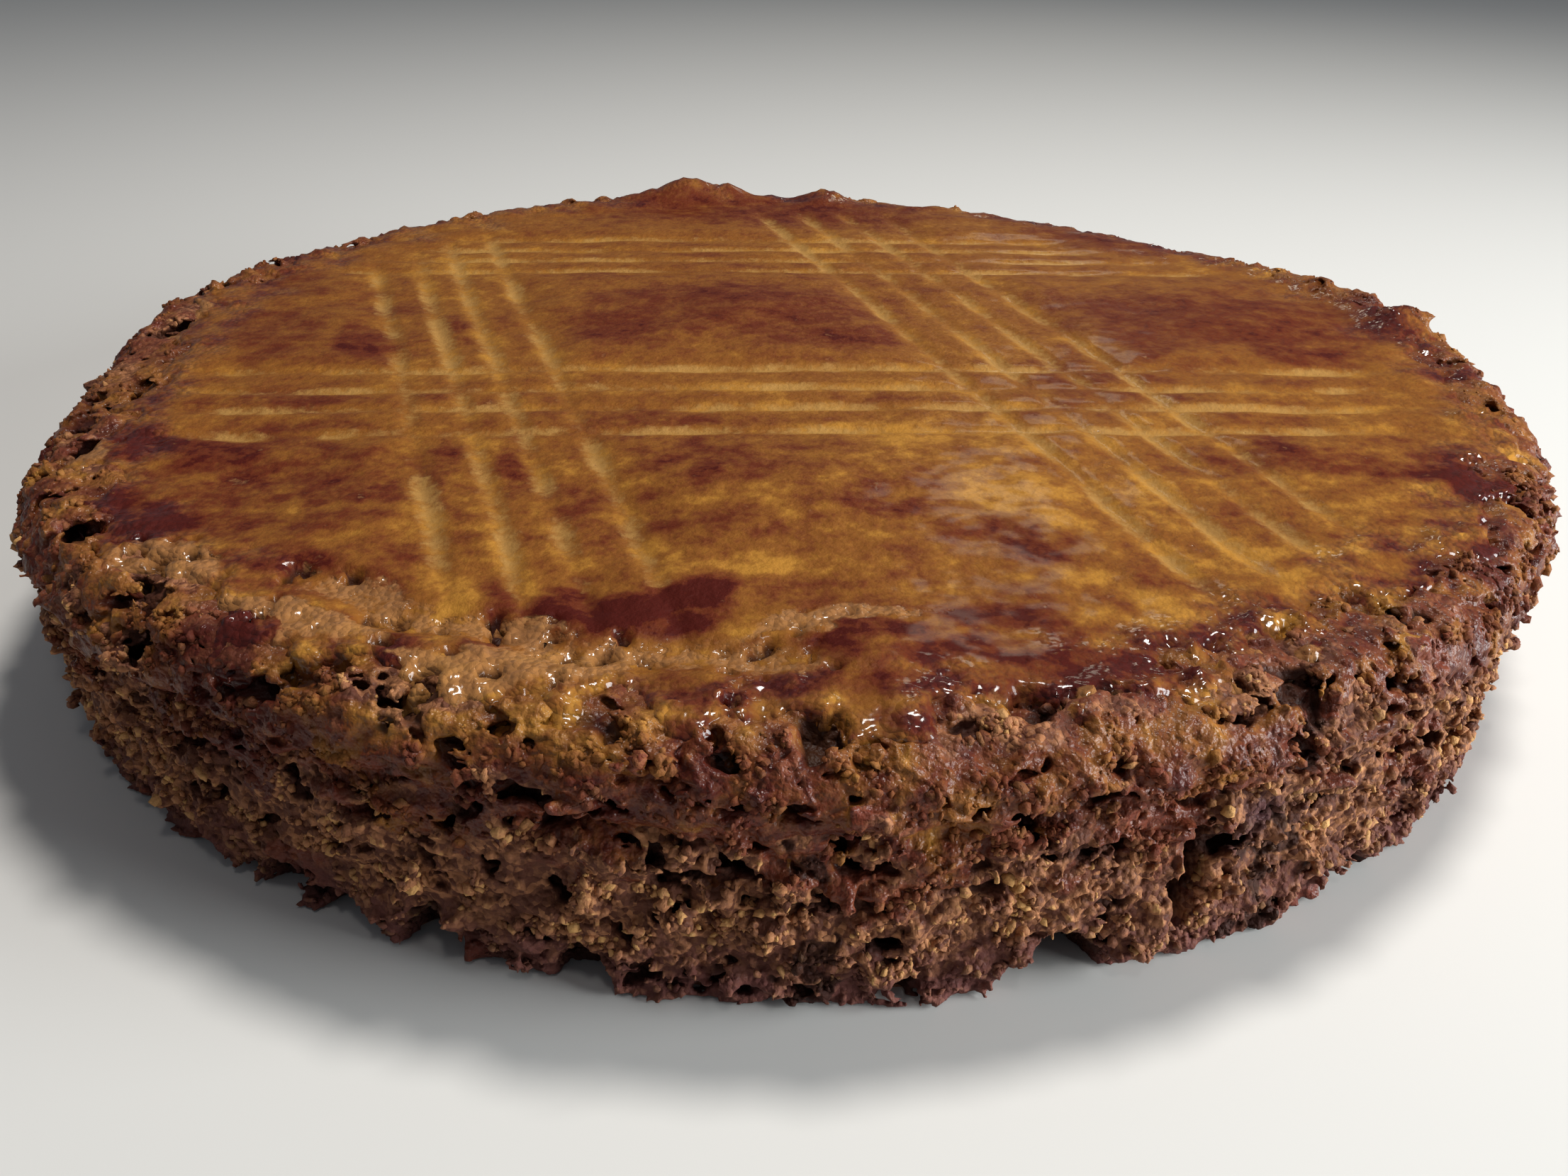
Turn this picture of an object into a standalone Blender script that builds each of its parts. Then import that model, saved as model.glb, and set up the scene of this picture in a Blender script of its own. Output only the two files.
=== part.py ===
"""Breton butter cake: one round of dense butter dough, baked in a ring, with an egg-glazed top that
was combed with a fork. It is one solid, in metres, and stands on its flat base at z = 0."""

import math

import bpy
from mathutils import Vector, noise

MM = 0.001

# The round
RIM_RADIUS = 100.5 * MM     # the widest ring, just under the rounded top edge
BASE_RADIUS = 98.0 * MM
HEIGHT = 31.0 * MM          # the rim of the top, before its swells
EDGE_ROUND = 6.0 * MM
FOOT_ROUND = 1.5 * MM
TOP_DOME = 1.0 * MM         # how far the middle stands above the rim

# The fork's marks: each drag leaves one groove for each tine. A place is measured across the drag.
GROOVE_WIDTH = 3.4 * MM
GROOVE_DEPTH = 1.25 * MM
BAND_SINK = 0.5 * MM        # the whole width of a drag is pressed down a little
TINE_WANDER = 0.9 * MM
WANDER_LENGTH = 45 * MM
DRAGS = (                   # heading in degrees, then the place of each tine's groove
    (-72.0, (-55.0 * MM, -48.0 * MM, -42.0 * MM, -34.5 * MM)),
    (-72.0, (18.5 * MM, 26.5 * MM, 34.0 * MM, 41.5 * MM)),
    (3.5, (-31.5 * MM, -23.5 * MM, -16.5 * MM, -9.0 * MM)),
    (3.5, (40.5 * MM, 47.5 * MM, 54.5 * MM, 61.5 * MM)),
)
GROOVES_FADE = 82 * MM      # distance from the middle at which the grooves begin to run out
GROOVES_END = 94 * MM       # and where they end

# Lumps and dips of the top: x, y, radius, height
SWELLS = (
    (8 * MM, -88 * MM, 17 * MM, 1.1 * MM),
    (-62 * MM, -50 * MM, 24 * MM, -0.9 * MM),
    (-8 * MM, 18 * MM, 26 * MM, 0.7 * MM),
    (66 * MM, 22 * MM, 24 * MM, 0.7 * MM),
    (2 * MM, -52 * MM, 22 * MM, 0.8 * MM),
    (-12 * MM, -74 * MM, 9 * MM, 0.6 * MM),
)
# Lumps and dips of the rim: angle in degrees, half width in degrees, height
RIM_LUMPS = (
    (102.5, 6.0, 3.4 * MM),
    (86.0, 2.6, 1.8 * MM),
    (112.0, 22.0, 1.2 * MM),
    (52.0, 20.0, -1.2 * MM),
    (20.0, 16.0, 1.4 * MM),
    (11.0, 2.4, 2.0 * MM),
    (190.0, 15.0, -1.6 * MM),
    (160.0, 14.0, 0.8 * MM),
)
RIM_LUMP_REACH = 14 * MM    # how far in from the edge they reach
LUMP_SPREAD = 1.6           # a lump's foot, as a share of its half width at half its height
RIM_ROUGH_DEPTH = 1.0 * MM  # the crust breaks up towards the edge
RIM_ROUGH_SIZE = 6.5 * MM
# Where the round is out of true: angle in degrees, half width in degrees, distance outwards
OUT_OF_ROUND = (
    (190.0, 15.0, -2.4 * MM),
    (218.0, 14.0, 1.0 * MM),
    (14.0, 12.0, 0.6 * MM),
    (-28.0, 18.0, -1.0 * MM),
)
MIDDLE = (0.8 * MM, -0.2 * MM)  # middle of the uneven outline, which comes over the origin

# Pits that opened at the rim: x, y, radius, depth
PITS = (
    (-4.7 * MM, -93.7 * MM, 2.6 * MM, 3.0 * MM),
    (2.6 * MM, -97.0 * MM, 3.4 * MM, 3.2 * MM),
    (21.9 * MM, -91.4 * MM, 3.2 * MM, 2.4 * MM),
    (46.5 * MM, -85.4 * MM, 4.2 * MM, 3.2 * MM),
    (-27.5 * MM, -80.4 * MM, 2.8 * MM, 1.8 * MM),
    (-38.0 * MM, -79.3 * MM, 2.8 * MM, 1.6 * MM),
    (-64.4 * MM, -69.1 * MM, 4.0 * MM, 2.6 * MM),
    (-33.0 * MM, -91.0 * MM, 3.0 * MM, 2.2 * MM),
    (60.5 * MM, -74.0 * MM, 3.2 * MM, 2.2 * MM),
)

# The crack of torn crust that runs round inside the front rim
CRACK_RADIUS = 86 * MM
CRACK_FROM, CRACK_TO = -128.0, -84.0
CRACK_FADE = 8.0            # degrees over which it dies out at each end
CRACK_WIDTH = 5 * MM
CRACK_DEPTH = 1.0 * MM
CRACK_SWING_LENGTH = 11 * MM

# The crumb of the side
CRAG_SIZE = 9.5 * MM
CRAG_DEPTH = 1.5 * MM
CRAG_BIAS = 0.55            # keeps the crags' mean on the turned form
CRUMB_SIZE = 4.6 * MM
CRUMB_DEPTH = 0.8 * MM
LAYER_STRETCH = 1.9         # the crags lie in layers, wider than they are high
CRUST_LEDGE = 21 * MM       # height of the break under the crust
LEDGE_SWING = 3.6 * MM
LEDGE_SWING_LENGTH = 28 * MM
LEDGE_WIDTH = 2.6 * MM
LEDGE_DEPTH = 1.9 * MM
LEDGE_GAP_LENGTH = 19 * MM  # the break comes and goes over this length
CRUST_OVERHANG = 0.7 * MM
CHIP_HEIGHT = 4 * MM        # where the bottom edge has crumbled away a little
CHIP_DEPTH = 1.8 * MM
CHIP_LENGTH = 7 * MM
# Pieces broken out of the bottom edge: angle in degrees, half width in degrees, height, depth
NOTCHES = (
    (-74.6, 4.4, 8.5 * MM, 6.5 * MM),
    (-101.0, 2.3, 6.5 * MM, 4.0 * MM),
    (-110.2, 2.5, 7.5 * MM, 4.5 * MM),
    (-117.0, 1.8, 5.0 * MM, 3.5 * MM),
    (-121.5, 2.0, 6.5 * MM, 3.5 * MM),
    (-128.3, 2.0, 6.0 * MM, 3.5 * MM),
    (-52.0, 1.8, 4.0 * MM, 3.0 * MM),
)
NOTCH_BLUNT = 0.45          # the smaller, the steeper a notch's sides
# The upright crack at the front right, and the knob beside its foot
CREVICE_ANGLE = -67.4
CREVICE_WIDTH = 2.6 * MM
CREVICE_LOW, CREVICE_HIGH = 5.5 * MM, 18 * MM
CREVICE_DEPTH = 3.2 * MM
CREVICE_LEAN = 0.12
KNOB_ANGLE, KNOB_HEIGHT = -69.9, 4.2 * MM
KNOB_SIZE = 4.0 * MM
KNOB_OUT = 1.6 * MM
SURFACE_GRAIN = 0.35 * MM   # unevenness of the glazed top
GRAIN_SIZE = 11 * MM

# The mesh
SIDE_TO_TOP = (0.2, 0.8)    # upward share of the normal, from where the side's relief gives way
ON_BASE = 0.01 * MM         # anything lower than this belongs to the flat base
BASE_SLACK = 0.15 * MM      # how far thinning out the faces may lift a point of the base
TURN_STEPS = 420
PROFILE_STEP = 1.25 * MM
TRIANGLES = 11600

CRUST_COLOUR = (0.36, 0.13, 0.03, 1.0)
CRUST_ROUGHNESS = 0.45


def smooth(low, high, value):
    """0 below low, 1 above high, and a soft step between them."""
    t = min(max((value - low) / (high - low), 0.0), 1.0)
    return t * t * (3.0 - 2.0 * t)


def bell(distance, radius):
    """1 in the middle, and 0 from the radius on."""
    t = min(abs(distance) / radius, 1.0)
    return (1.0 - t * t) ** 2


def degrees_apart(a, b):
    return (a - b + 180.0) % 360.0 - 180.0


def uneven(x, y, z, size, seed):
    """Smooth noise, mostly between -0.5 and 0.5, with bumps of the given size."""
    return noise.noise(Vector((x, y, z)) / size + Vector((seed, 0.37 * seed, 1.7 * seed)))


def uneven_round(angle, length, seed):
    """The same along the cake's edge, where it meets itself after a turn."""
    turn = math.radians(angle)
    return uneven(RIM_RADIUS * math.cos(turn), RIM_RADIUS * math.sin(turn), 0.0, length, seed)


def groove(x, y):
    """How deep the fork's marks go at a place on the top, from 0 to 1."""
    deepest = 0.0
    for number, (heading, tines) in enumerate(DRAGS):
        along = x * math.cos(math.radians(heading)) + y * math.sin(math.radians(heading))
        across = -x * math.sin(math.radians(heading)) + y * math.cos(math.radians(heading))
        wander = uneven(along, 0.0, 0.0, WANDER_LENGTH, 10 + number) * TINE_WANDER
        for tine, place in enumerate(tines):
            own = uneven(along, 0.0, 0.0, WANDER_LENGTH, 20 + 4 * number + tine) * TINE_WANDER
            deepest = max(deepest, bell(across - place - wander - own, GROOVE_WIDTH / 2))
    return deepest


def band(x, y):
    """1 inside the width of a drag of the fork, and 0 outside it."""
    most = 0.0
    for heading, tines in DRAGS:
        across = -x * math.sin(math.radians(heading)) + y * math.cos(math.radians(heading))
        middle = (tines[0] + tines[-1]) / 2
        half = (tines[-1] - tines[0]) / 2
        most = max(most, 1.0 - smooth(half, half + 2 * GROOVE_WIDTH, abs(across - middle)))
    return most


def crack(angle, radius):
    """How deep the torn ring inside the front rim goes, from 0 to 1."""
    inside = smooth(0, CRACK_FADE, angle - CRACK_FROM) * smooth(0, CRACK_FADE, CRACK_TO - angle)
    ragged = uneven_round(angle, CRACK_SWING_LENGTH, 3) * CRACK_WIDTH
    return inside * bell(radius - CRACK_RADIUS - ragged, CRACK_WIDTH)


def top_relief(x, y):
    """Height of the baked top over the turned form."""
    radius = math.hypot(x, y)
    angle = math.degrees(math.atan2(y, x))
    fade = 1.0 - smooth(GROOVES_FADE, GROOVES_END, radius)
    height = uneven(x, y, 0.0, GRAIN_SIZE, 1) * SURFACE_GRAIN
    height -= groove(x, y) * GROOVE_DEPTH * fade + band(x, y) * BAND_SINK * fade
    for sx, sy, size, rise in SWELLS:
        height += rise * bell(math.hypot(x - sx, y - sy), size)
    near_edge = smooth(RIM_RADIUS - RIM_LUMP_REACH, RIM_RADIUS - EDGE_ROUND / 2, radius)
    for at, half, rise in RIM_LUMPS:
        height += rise * near_edge * bell(degrees_apart(angle, at), half * LUMP_SPREAD)
    for px, py, size, depth in PITS:
        height -= depth * bell(math.hypot(x - px, y - py), size)
    rough = uneven(x, y, 0.0, RIM_ROUGH_SIZE, 2)
    height += rough * RIM_ROUGH_DEPTH * (1.0 - fade)
    return height - crack(angle, radius) * CRACK_DEPTH


def ledge_height(angle):
    """Height of the break under the crust, which falls and rises round the cake."""
    return CRUST_LEDGE + uneven_round(angle, LEDGE_SWING_LENGTH, 4) * LEDGE_SWING


def foot_chips(angle, z):
    """How far the crumbled bottom edge draws back."""
    crumbled = smooth(0.1, 0.4, uneven_round(angle, CHIP_LENGTH, 5))
    back = CHIP_DEPTH * crumbled * (1.0 - smooth(CHIP_HEIGHT * 0.4, CHIP_HEIGHT, z))
    for at, half, height, depth in NOTCHES:
        inside = bell(degrees_apart(angle, at), half)
        roof = height * math.sqrt(inside) + ON_BASE
        below_roof = 1.0 - smooth(roof / 2, roof, z)
        back = max(back, depth * smooth(0.0, NOTCH_BLUNT, inside) * below_roof)
    return back


def side_relief(x, y, z):
    """How far the crumb of the side stands out from the turned form."""
    angle = math.degrees(math.atan2(y, x))
    above_break = z - ledge_height(angle)
    out = CRAG_DEPTH * (CRAG_BIAS - 2.0 * abs(uneven(x, y, z * LAYER_STRETCH, CRAG_SIZE, 6)))
    out += CRUMB_DEPTH * uneven(x, y, z * LAYER_STRETCH, CRUMB_SIZE, 7)
    torn = smooth(-0.25, 0.25, uneven_round(angle, LEDGE_GAP_LENGTH, 8))
    out -= LEDGE_DEPTH * bell(above_break, LEDGE_WIDTH) * torn
    out += CRUST_OVERHANG * smooth(0.0, LEDGE_WIDTH, above_break)
    out -= foot_chips(angle, z)
    sideways = math.radians(degrees_apart(angle, CREVICE_ANGLE)) * BASE_RADIUS
    lean = (z - CREVICE_LOW) * CREVICE_LEAN
    above_low = smooth(CREVICE_LOW - CREVICE_WIDTH, CREVICE_LOW, z)
    below_high = 1.0 - smooth(CREVICE_HIGH - CREVICE_WIDTH, CREVICE_HIGH, z)
    out -= CREVICE_DEPTH * bell(sideways - lean, CREVICE_WIDTH) * above_low * below_high
    knob_side = math.radians(degrees_apart(angle, KNOB_ANGLE)) * BASE_RADIUS
    out += KNOB_OUT * bell(math.hypot(knob_side, z - KNOB_HEIGHT), KNOB_SIZE)
    return out


def out_of_round(angle):
    """How far the outline stands out from a true circle."""
    return sum(
        out * bell(degrees_apart(angle, at), half * LUMP_SPREAD)
        for at, half, out in OUT_OF_ROUND
    )


def arc(centre_r, centre_z, radius, start, end):
    """Points of a rounded edge, from one angle to another, its first point left out."""
    steps = max(2, math.ceil(radius * math.radians(abs(end - start)) / PROFILE_STEP))
    turns = [math.radians(start + (end - start) * k / steps) for k in range(1, steps + 1)]
    return [(centre_r + radius * math.cos(t), centre_z + radius * math.sin(t)) for t in turns]


def line(start, end):
    """Points of a straight stretch, its first point left out."""
    steps = max(1, round(math.dist(start, end) / PROFILE_STEP))
    return [
        tuple(a + (b - a) * k / steps for a, b in zip(start, end))
        for k in range(1, steps + 1)
    ]


def turned_profile():
    """The outer side of the round, from the middle of the top down to the middle of the base."""
    flat_edge = RIM_RADIUS - EDGE_ROUND
    points = [(0.0, HEIGHT + TOP_DOME)]
    for radius, _ in line((0.0, 0.0), (flat_edge, 0.0)):
        points.append((radius, HEIGHT + TOP_DOME * (1.0 - (radius / flat_edge) ** 2)))
    points += arc(flat_edge, HEIGHT - EDGE_ROUND, EDGE_ROUND, 90, 0)
    points += line(points[-1], (BASE_RADIUS, FOOT_ROUND))
    points += arc(BASE_RADIUS - FOOT_ROUND, FOOT_ROUND, FOOT_ROUND, 0, -90)
    points.append((0.0, 0.0))
    return points


def turned_round(collection):
    """The smooth round that the baked surface is worked out from, as a plain mesh."""
    points = turned_profile()
    outline = bpy.data.meshes.new("outline")
    outline.from_pydata([(r, 0.0, z) for r, z in points], [(k, k + 1) for k in range(len(points) - 1)], [])
    turned = bpy.data.objects.new("outline", outline)
    collection.objects.link(turned)
    screw = turned.modifiers.new("turn", "SCREW")
    screw.axis = "Z"
    screw.angle = math.tau
    screw.steps = TURN_STEPS
    screw.render_steps = TURN_STEPS
    screw.use_merge_vertices = True
    screw.merge_threshold = 0.01 * MM
    mesh = evaluated_mesh(turned)
    bpy.data.objects.remove(turned)
    return mesh


def evaluated_mesh(made):
    """A plain mesh of an object with its modifiers applied."""
    bpy.context.view_layer.update()
    return bpy.data.meshes.new_from_object(made.evaluated_get(bpy.context.evaluated_depsgraph_get()))


def bake_surface(mesh):
    """Raises the crust, presses the fork's marks and crumbles the side. The base stays flat."""
    moves = []
    for vertex in mesh.vertices:
        x, y, z = vertex.co
        normal = vertex.normal
        if z < ON_BASE:
            outward = Vector((x, y, 0.0)).normalized()
            moves.append(outward * side_relief(x, y, z) if math.hypot(x, y) > ON_BASE else Vector())
            continue
        upward = smooth(*SIDE_TO_TOP, normal.z)
        out = normal * (1.0 - upward) * side_relief(x, y, z) if upward < 1.0 else Vector()
        out.z *= smooth(0.0, 2 * FOOT_ROUND, z)
        up = Vector((0.0, 0.0, 1.0)) * upward * top_relief(x, y) if upward > 0.0 else Vector()
        moves.append(out + up)
    for vertex, move in zip(mesh.vertices, moves):
        x, y, _ = vertex.co
        outward = Vector((x, y, 0.0)) / RIM_RADIUS
        near_edge = smooth(0.5 * RIM_RADIUS, RIM_RADIUS, math.hypot(x, y))
        swell = out_of_round(math.degrees(math.atan2(y, x))) * near_edge
        vertex.co += move + outward * swell - Vector((*MIDDLE, 0.0))


def flatten_base(mesh):
    """Sets every point of the underside exactly on the table."""
    for vertex in mesh.vertices:
        if vertex.co.z < BASE_SLACK:
            vertex.co.z = 0.0


def crust_material():
    material = bpy.data.materials.new("baked_crust")
    material.use_nodes = True
    shader = material.node_tree.nodes["Principled BSDF"]
    shader.inputs["Base Color"].default_value = CRUST_COLOUR
    shader.inputs["Roughness"].default_value = CRUST_ROUGHNESS
    shader.inputs["Metallic"].default_value = 0.0
    return material


def butter_cake(collection):
    """The whole cake, as one closed solid."""
    mesh = turned_round(collection)
    bake_surface(mesh)
    cake = bpy.data.objects.new("cake", mesh)
    collection.objects.link(cake)
    thin_out = cake.modifiers.new("fewer faces", "DECIMATE")
    mesh.calc_loop_triangles()
    thin_out.ratio = TRIANGLES / len(mesh.loop_triangles)
    thin_out.use_collapse_triangulate = True
    solid = evaluated_mesh(cake)
    cake.modifiers.remove(thin_out)
    flatten_base(solid)
    cake.data = solid
    solid.materials.clear()
    solid.materials.append(crust_material())
    solid.shade_smooth()
    return cake


def main():
    for old in list(bpy.data.objects):
        bpy.data.objects.remove(old)
    collection = bpy.data.collections.new("breton_butter_cake")
    bpy.context.scene.collection.children.link(collection)
    butter_cake(collection)


main()
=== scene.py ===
"""Looks of the Breton butter cake: the egg-glazed crust that a fork has combed, the crumb of its side,
the single crumbs that cling to it, and the baked underside.

Sizes and places are in millimetres and bearings in degrees from +X, with the front at -90. The node
trees turn every point into these units first, and measure it from the middle of the baking ring.
"""

import functools
import math

import bmesh
import bpy
from mathutils import Matrix, Vector


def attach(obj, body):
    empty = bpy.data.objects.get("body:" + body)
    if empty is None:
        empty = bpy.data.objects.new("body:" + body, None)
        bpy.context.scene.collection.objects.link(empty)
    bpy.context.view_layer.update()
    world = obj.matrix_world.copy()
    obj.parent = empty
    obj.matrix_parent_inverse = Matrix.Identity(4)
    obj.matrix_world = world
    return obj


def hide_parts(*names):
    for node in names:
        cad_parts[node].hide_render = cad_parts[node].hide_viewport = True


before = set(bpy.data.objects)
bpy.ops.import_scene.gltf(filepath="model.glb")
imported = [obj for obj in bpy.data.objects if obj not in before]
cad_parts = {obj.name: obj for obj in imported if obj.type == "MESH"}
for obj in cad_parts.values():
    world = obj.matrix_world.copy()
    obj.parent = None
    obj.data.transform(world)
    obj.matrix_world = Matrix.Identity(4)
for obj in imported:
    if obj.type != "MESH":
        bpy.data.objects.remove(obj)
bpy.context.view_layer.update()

MM = 0.001
DEGREE = math.pi / 180
BODY = "root"
NODE = "cake"

# The form of the cake, as in the part. What follows down to the knob is the same rule for both.
RIM_RADIUS = 100.5
BASE_RADIUS = 98.0
HEIGHT = 31.0
EDGE_ROUND = 6.0
TOP_DOME = 1.0
FLAT_EDGE = RIM_RADIUS - EDGE_ROUND
CORNER_HEIGHT = HEIGHT - EDGE_ROUND
CORNER_RUN = EDGE_ROUND * math.pi / 2
MIDDLE = (0.8, -0.2)        # the ring's middle, seen from the part's origin, turned round

GROOVE_WIDTH = 3.4
GROOVE_DEPTH = 1.25
BAND_SINK = 0.5
PALE_LINE_WIDTH = 6.6
TINE_WANDER = 1.2
WANDER_LENGTH = 34.0
DRAGS = (                   # heading of a drag of the fork, then the place of each tine's groove
    (-72.0, (-55.0, -48.0, -42.0, -34.5)),
    (-72.0, (18.5, 26.5, 34.0, 41.5)),
    (3.5, (-31.5, -23.5, -16.5, -9.0)),
    (3.5, (40.5, 47.5, 54.5, 61.5)),
)
GROOVES_FADE, GROOVES_END = 82.0, 94.0

SWELLS = (                  # x, y, radius, height
    (8.0, -88.0, 17.0, 1.1),
    (-62.0, -50.0, 24.0, -0.9),
    (-8.0, 18.0, 26.0, 0.7),
    (66.0, 22.0, 24.0, 0.7),
    (2.0, -52.0, 22.0, 0.8),
    (-12.0, -74.0, 9.0, 0.6),
)
RIM_LUMPS = (               # bearing, half width in degrees, height
    (102.5, 6.0, 3.4),
    (86.0, 2.6, 1.8),
    (112.0, 22.0, 1.2),
    (52.0, 20.0, -1.2),
    (20.0, 16.0, 1.4),
    (11.0, 2.4, 2.0),
    (190.0, 15.0, -1.6),
    (160.0, 14.0, 0.8),
)
RIM_LUMP_REACH = 14.0
LUMP_SPREAD = 1.6
RIM_ROUGH_DEPTH, RIM_ROUGH_SIZE = 1.0, 6.5
OUT_OF_ROUND = (            # bearing, half width in degrees, distance outwards
    (190.0, 15.0, -2.4),
    (218.0, 14.0, 1.0),
    (14.0, 12.0, 0.6),
    (-28.0, 18.0, -1.0),
)
PITS = (                    # x, y, radius, depth
    (-4.7, -93.7, 2.6, 3.0),
    (2.6, -97.0, 3.4, 3.2),
    (21.9, -91.4, 3.2, 2.4),
    (46.5, -85.4, 4.2, 3.2),
    (-27.5, -80.4, 2.8, 1.8),
    (-38.0, -79.3, 2.8, 1.6),
    (-64.4, -69.1, 4.0, 2.6),
    (-33.0, -91.0, 3.0, 2.2),
    (60.5, -74.0, 3.2, 2.2),
)
CRACK_RADIUS = 86.0
CRACK_FROM, CRACK_TO = -128.0, -84.0
CRACK_FADE = 8.0
CRACK_WIDTH, CRACK_DEPTH = 5.0, 1.0
CRACK_SWING_LENGTH = 11.0

CRAG_SIZE, CRAG_DEPTH, CRAG_BIAS = 9.5, 1.5, 0.55
LAYER_STRETCH = 1.9
CRUST_LEDGE = 21.0
LEDGE_SWING, LEDGE_SWING_LENGTH = 3.6, 28.0
LEDGE_WIDTH, LEDGE_DEPTH = 2.6, 1.9
LEDGE_GAP_LENGTH = 19.0
CRUST_OVERHANG = 0.7
CHIP_HEIGHT, CHIP_DEPTH, CHIP_LENGTH = 4.0, 1.8, 7.0
NOTCHES = (                 # bearing, half width in degrees, height, depth
    (-74.6, 4.4, 8.5, 6.5),
    (-101.0, 2.3, 6.5, 4.0),
    (-110.2, 2.5, 7.5, 4.5),
    (-117.0, 1.8, 5.0, 3.5),
    (-121.5, 2.0, 6.5, 3.5),
    (-128.3, 2.0, 6.0, 3.5),
    (-52.0, 1.8, 4.0, 3.0),
)
NOTCH_BLUNT = 0.45
CREVICE_BEARING, CREVICE_WIDTH, CREVICE_DEPTH, CREVICE_LEAN = -67.4, 2.6, 3.2, 0.12
CREVICE_LOW, CREVICE_HIGH = 5.5, 18.0
KNOB_BEARING, KNOB_HEIGHT, KNOB_SIZE, KNOB_OUT = -69.9, 4.2, 4.0, 1.6

# The finer crumb, which only the looks have. A pair in brackets is where a soft step starts and ends.
SWELL_SIZE, SWELL_DEPTH = 8.0, 2.6
CLUMP_SIZE, CLUMP_DEPTH, CLUMP_STRETCH = 3.4, 4.6, 1.3
CRUMB_SIZE, CRUMB_DEPTH, CRUMB_HARSH = 1.5, 3.6, 0.7
MEAN_SWING = 0.12           # how far noise lies from its middle on average
CRUMB_SHOWS = (-9.0, -1.0)  # distance past the end of the glaze, where the roughness sets in
PIT_SHOWS = (0.3, 1.0)      # the same by the depth of a pit
CALM_AT_CRUST = 0.4         # share of the roughness that is left where the crust has glazed the crumb
CRUSTED_SIZE, CRUSTED_RAGGED = 6.0, 34.0
CRUSTED_END = (8.0, 11.0)   # distance past the glaze at which that crust ends
CALM_AT_FOOT = 0.3          # share of the clumps that is left at the bottom edge
FOOT_HEIGHTS = (0.5, 5.0)
CREVICE_EXTRA = 2.4         # how much deeper the upright crack is in the crumb than in the part
HOLLOW_SIZE, HOLLOW_STRETCH = 5.2, 1.6
HOLLOW_FROM, HOLLOW_STEEP = 0.1, 15.0
MORE_HOLLOWS = 0.04         # how much lower that threshold lies in the upper half of the side
UPPER_HALF = (10.0, 16.0)
FEWER_HOLLOWS = 0.3         # how much higher it lies under the glaze
HOLLOW_DEEPEST = 3.8
PIT_RAGGED_SIZE, PIT_RAGGED_DEPTH = 2.6, 7.0
CREVICE_SHADE, CHIPS_SHADE = 2.4, 0.33        # painted shade in the crevice and the notches, counted as the depth of a pit for the colour

# The crumb is grown as straight bars, which are then bent round the cake. The crust and the underside
# close the ring that they make. A bar's width in degrees, its voxel, and how many single crumbs cling to
# each square millimetre of it:
FRONT_BAR = (22.5, 0.285, 5.0)
ROUND_BAR = (75.0, 0.46, 1.2)
BARS = (                    # name, middle bearing
    ("far_left", -146.25, *FRONT_BAR),
    ("front_left", -123.75, *FRONT_BAR),
    ("middle_left", -101.25, *FRONT_BAR),
    ("middle_right", -78.75, *FRONT_BAR),
    ("front_right", -56.25, *FRONT_BAR),
    ("far_right", -33.75, *FRONT_BAR),
    ("right", 15.0, *ROUND_BAR),
    ("back", 90.0, *ROUND_BAR),
    ("left", 165.0, *ROUND_BAR),
)
INNER_WALL, OUTER_WALL = 80.0, 104.0
TALLEST = 36.0
CRUMB_BOTTOM = 0.3
BAR_OVERLAP = 0.4           # how far neighbouring bars reach into each other
BOX_MARGIN = 1.0
SKIN_BLUR = 0.8             # depth over which the crumb's density fades
FLAT_ENOUGH = 0.03          # how far the mesh of the skin may be thinned out where it is flat
SMALLEST_ISLAND = 700       # faces

# Single crumbs that cling to the side
CLINGING_SMALLEST, CLINGING_LARGEST = 0.16, 0.6     # radius
CLINGING_FEW_LARGE = 2.2    # the higher, the fewer of them are large
CLINGING_LOWEST = 1.2
CLINGING_DEEPEST = -1.0     # they keep to what stands out farther than this from the mean form
CLINGING_PAST_GLAZE = 1.0
CLINGING_CHIPPED = 0.35     # how far a crumb's corners are out of round, as a share of its radius
CLINGING_FLATTEST, CLINGING_LONGEST = 0.55, 1.5
CROWD_SIZE, CROWDED = 4.0, (-0.03, 0.25)

# The glazed crust
CRUST_COLUMNS, CRUST_ROWS = 350, 335
CRUST_FRONT_WIDTH = 76.0    # half width of the crust's mesh at the front, where its cells are smallest
CRUST_WIDENING = 1.2        # how much wider, as a share, the cells are at the back
CRUST_REACH = 124.0
GLAZE_BED, GLAZE_BED_INSIDE = 0.35, 2.2     # how much lower the crumb lies under the glaze
GLAZE_LIFT = 0.1
GLAZE_EDGE_SINK = 1.9       # how deep the crust's torn edge dives into the crumb
GLAZE_EDGE_BLUR = 2.2
GLAZE_ROOT_SINK, GLAZE_ROOT_RUN = 4.0, 8.0
GLAZE_RUN = 96.5            # distance from the middle, along the surface, at which the glaze ends
GLAZE_REACHES = (           # bearing, half width in degrees, how much farther it runs
    (90.0, 70.0, 4.0),
    (188.0, 36.0, -5.0),
    (-121.0, 8.0, 4.0),
    (-108.0, 12.0, 1.5),
    (-84.0, 14.0, 1.5),
    (-56.0, 20.0, -4.0),
    (-36.0, 18.0, -1.0),
)
GLAZE_CUT = 11.0            # the crust's mesh ends this far past the glaze
TEAR_SIZE, TEAR_DEPTH = 7.0, 17.0
FINE_TEAR_SIZE, FINE_TEAR_DEPTH = 2.4, 8.0
TEARS_FROM = (70.0, 84.0)   # distance from the middle
GLAZE_OPENS = (0.7, 1.4)    # depth of a pit at which the glaze is gone
LINES_END = (76.0, 90.0)    # distance from the middle at which the fork's marks run out
MARK_DEPTH = GROOVE_DEPTH / 2               # in the glaze, which has filled half of each groove
MARK_SWING_SIZE = 10.0
MARK_MEAN, MARK_SWING = 0.6, 1.7            # depth of the marks, and how uneven it is
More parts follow.
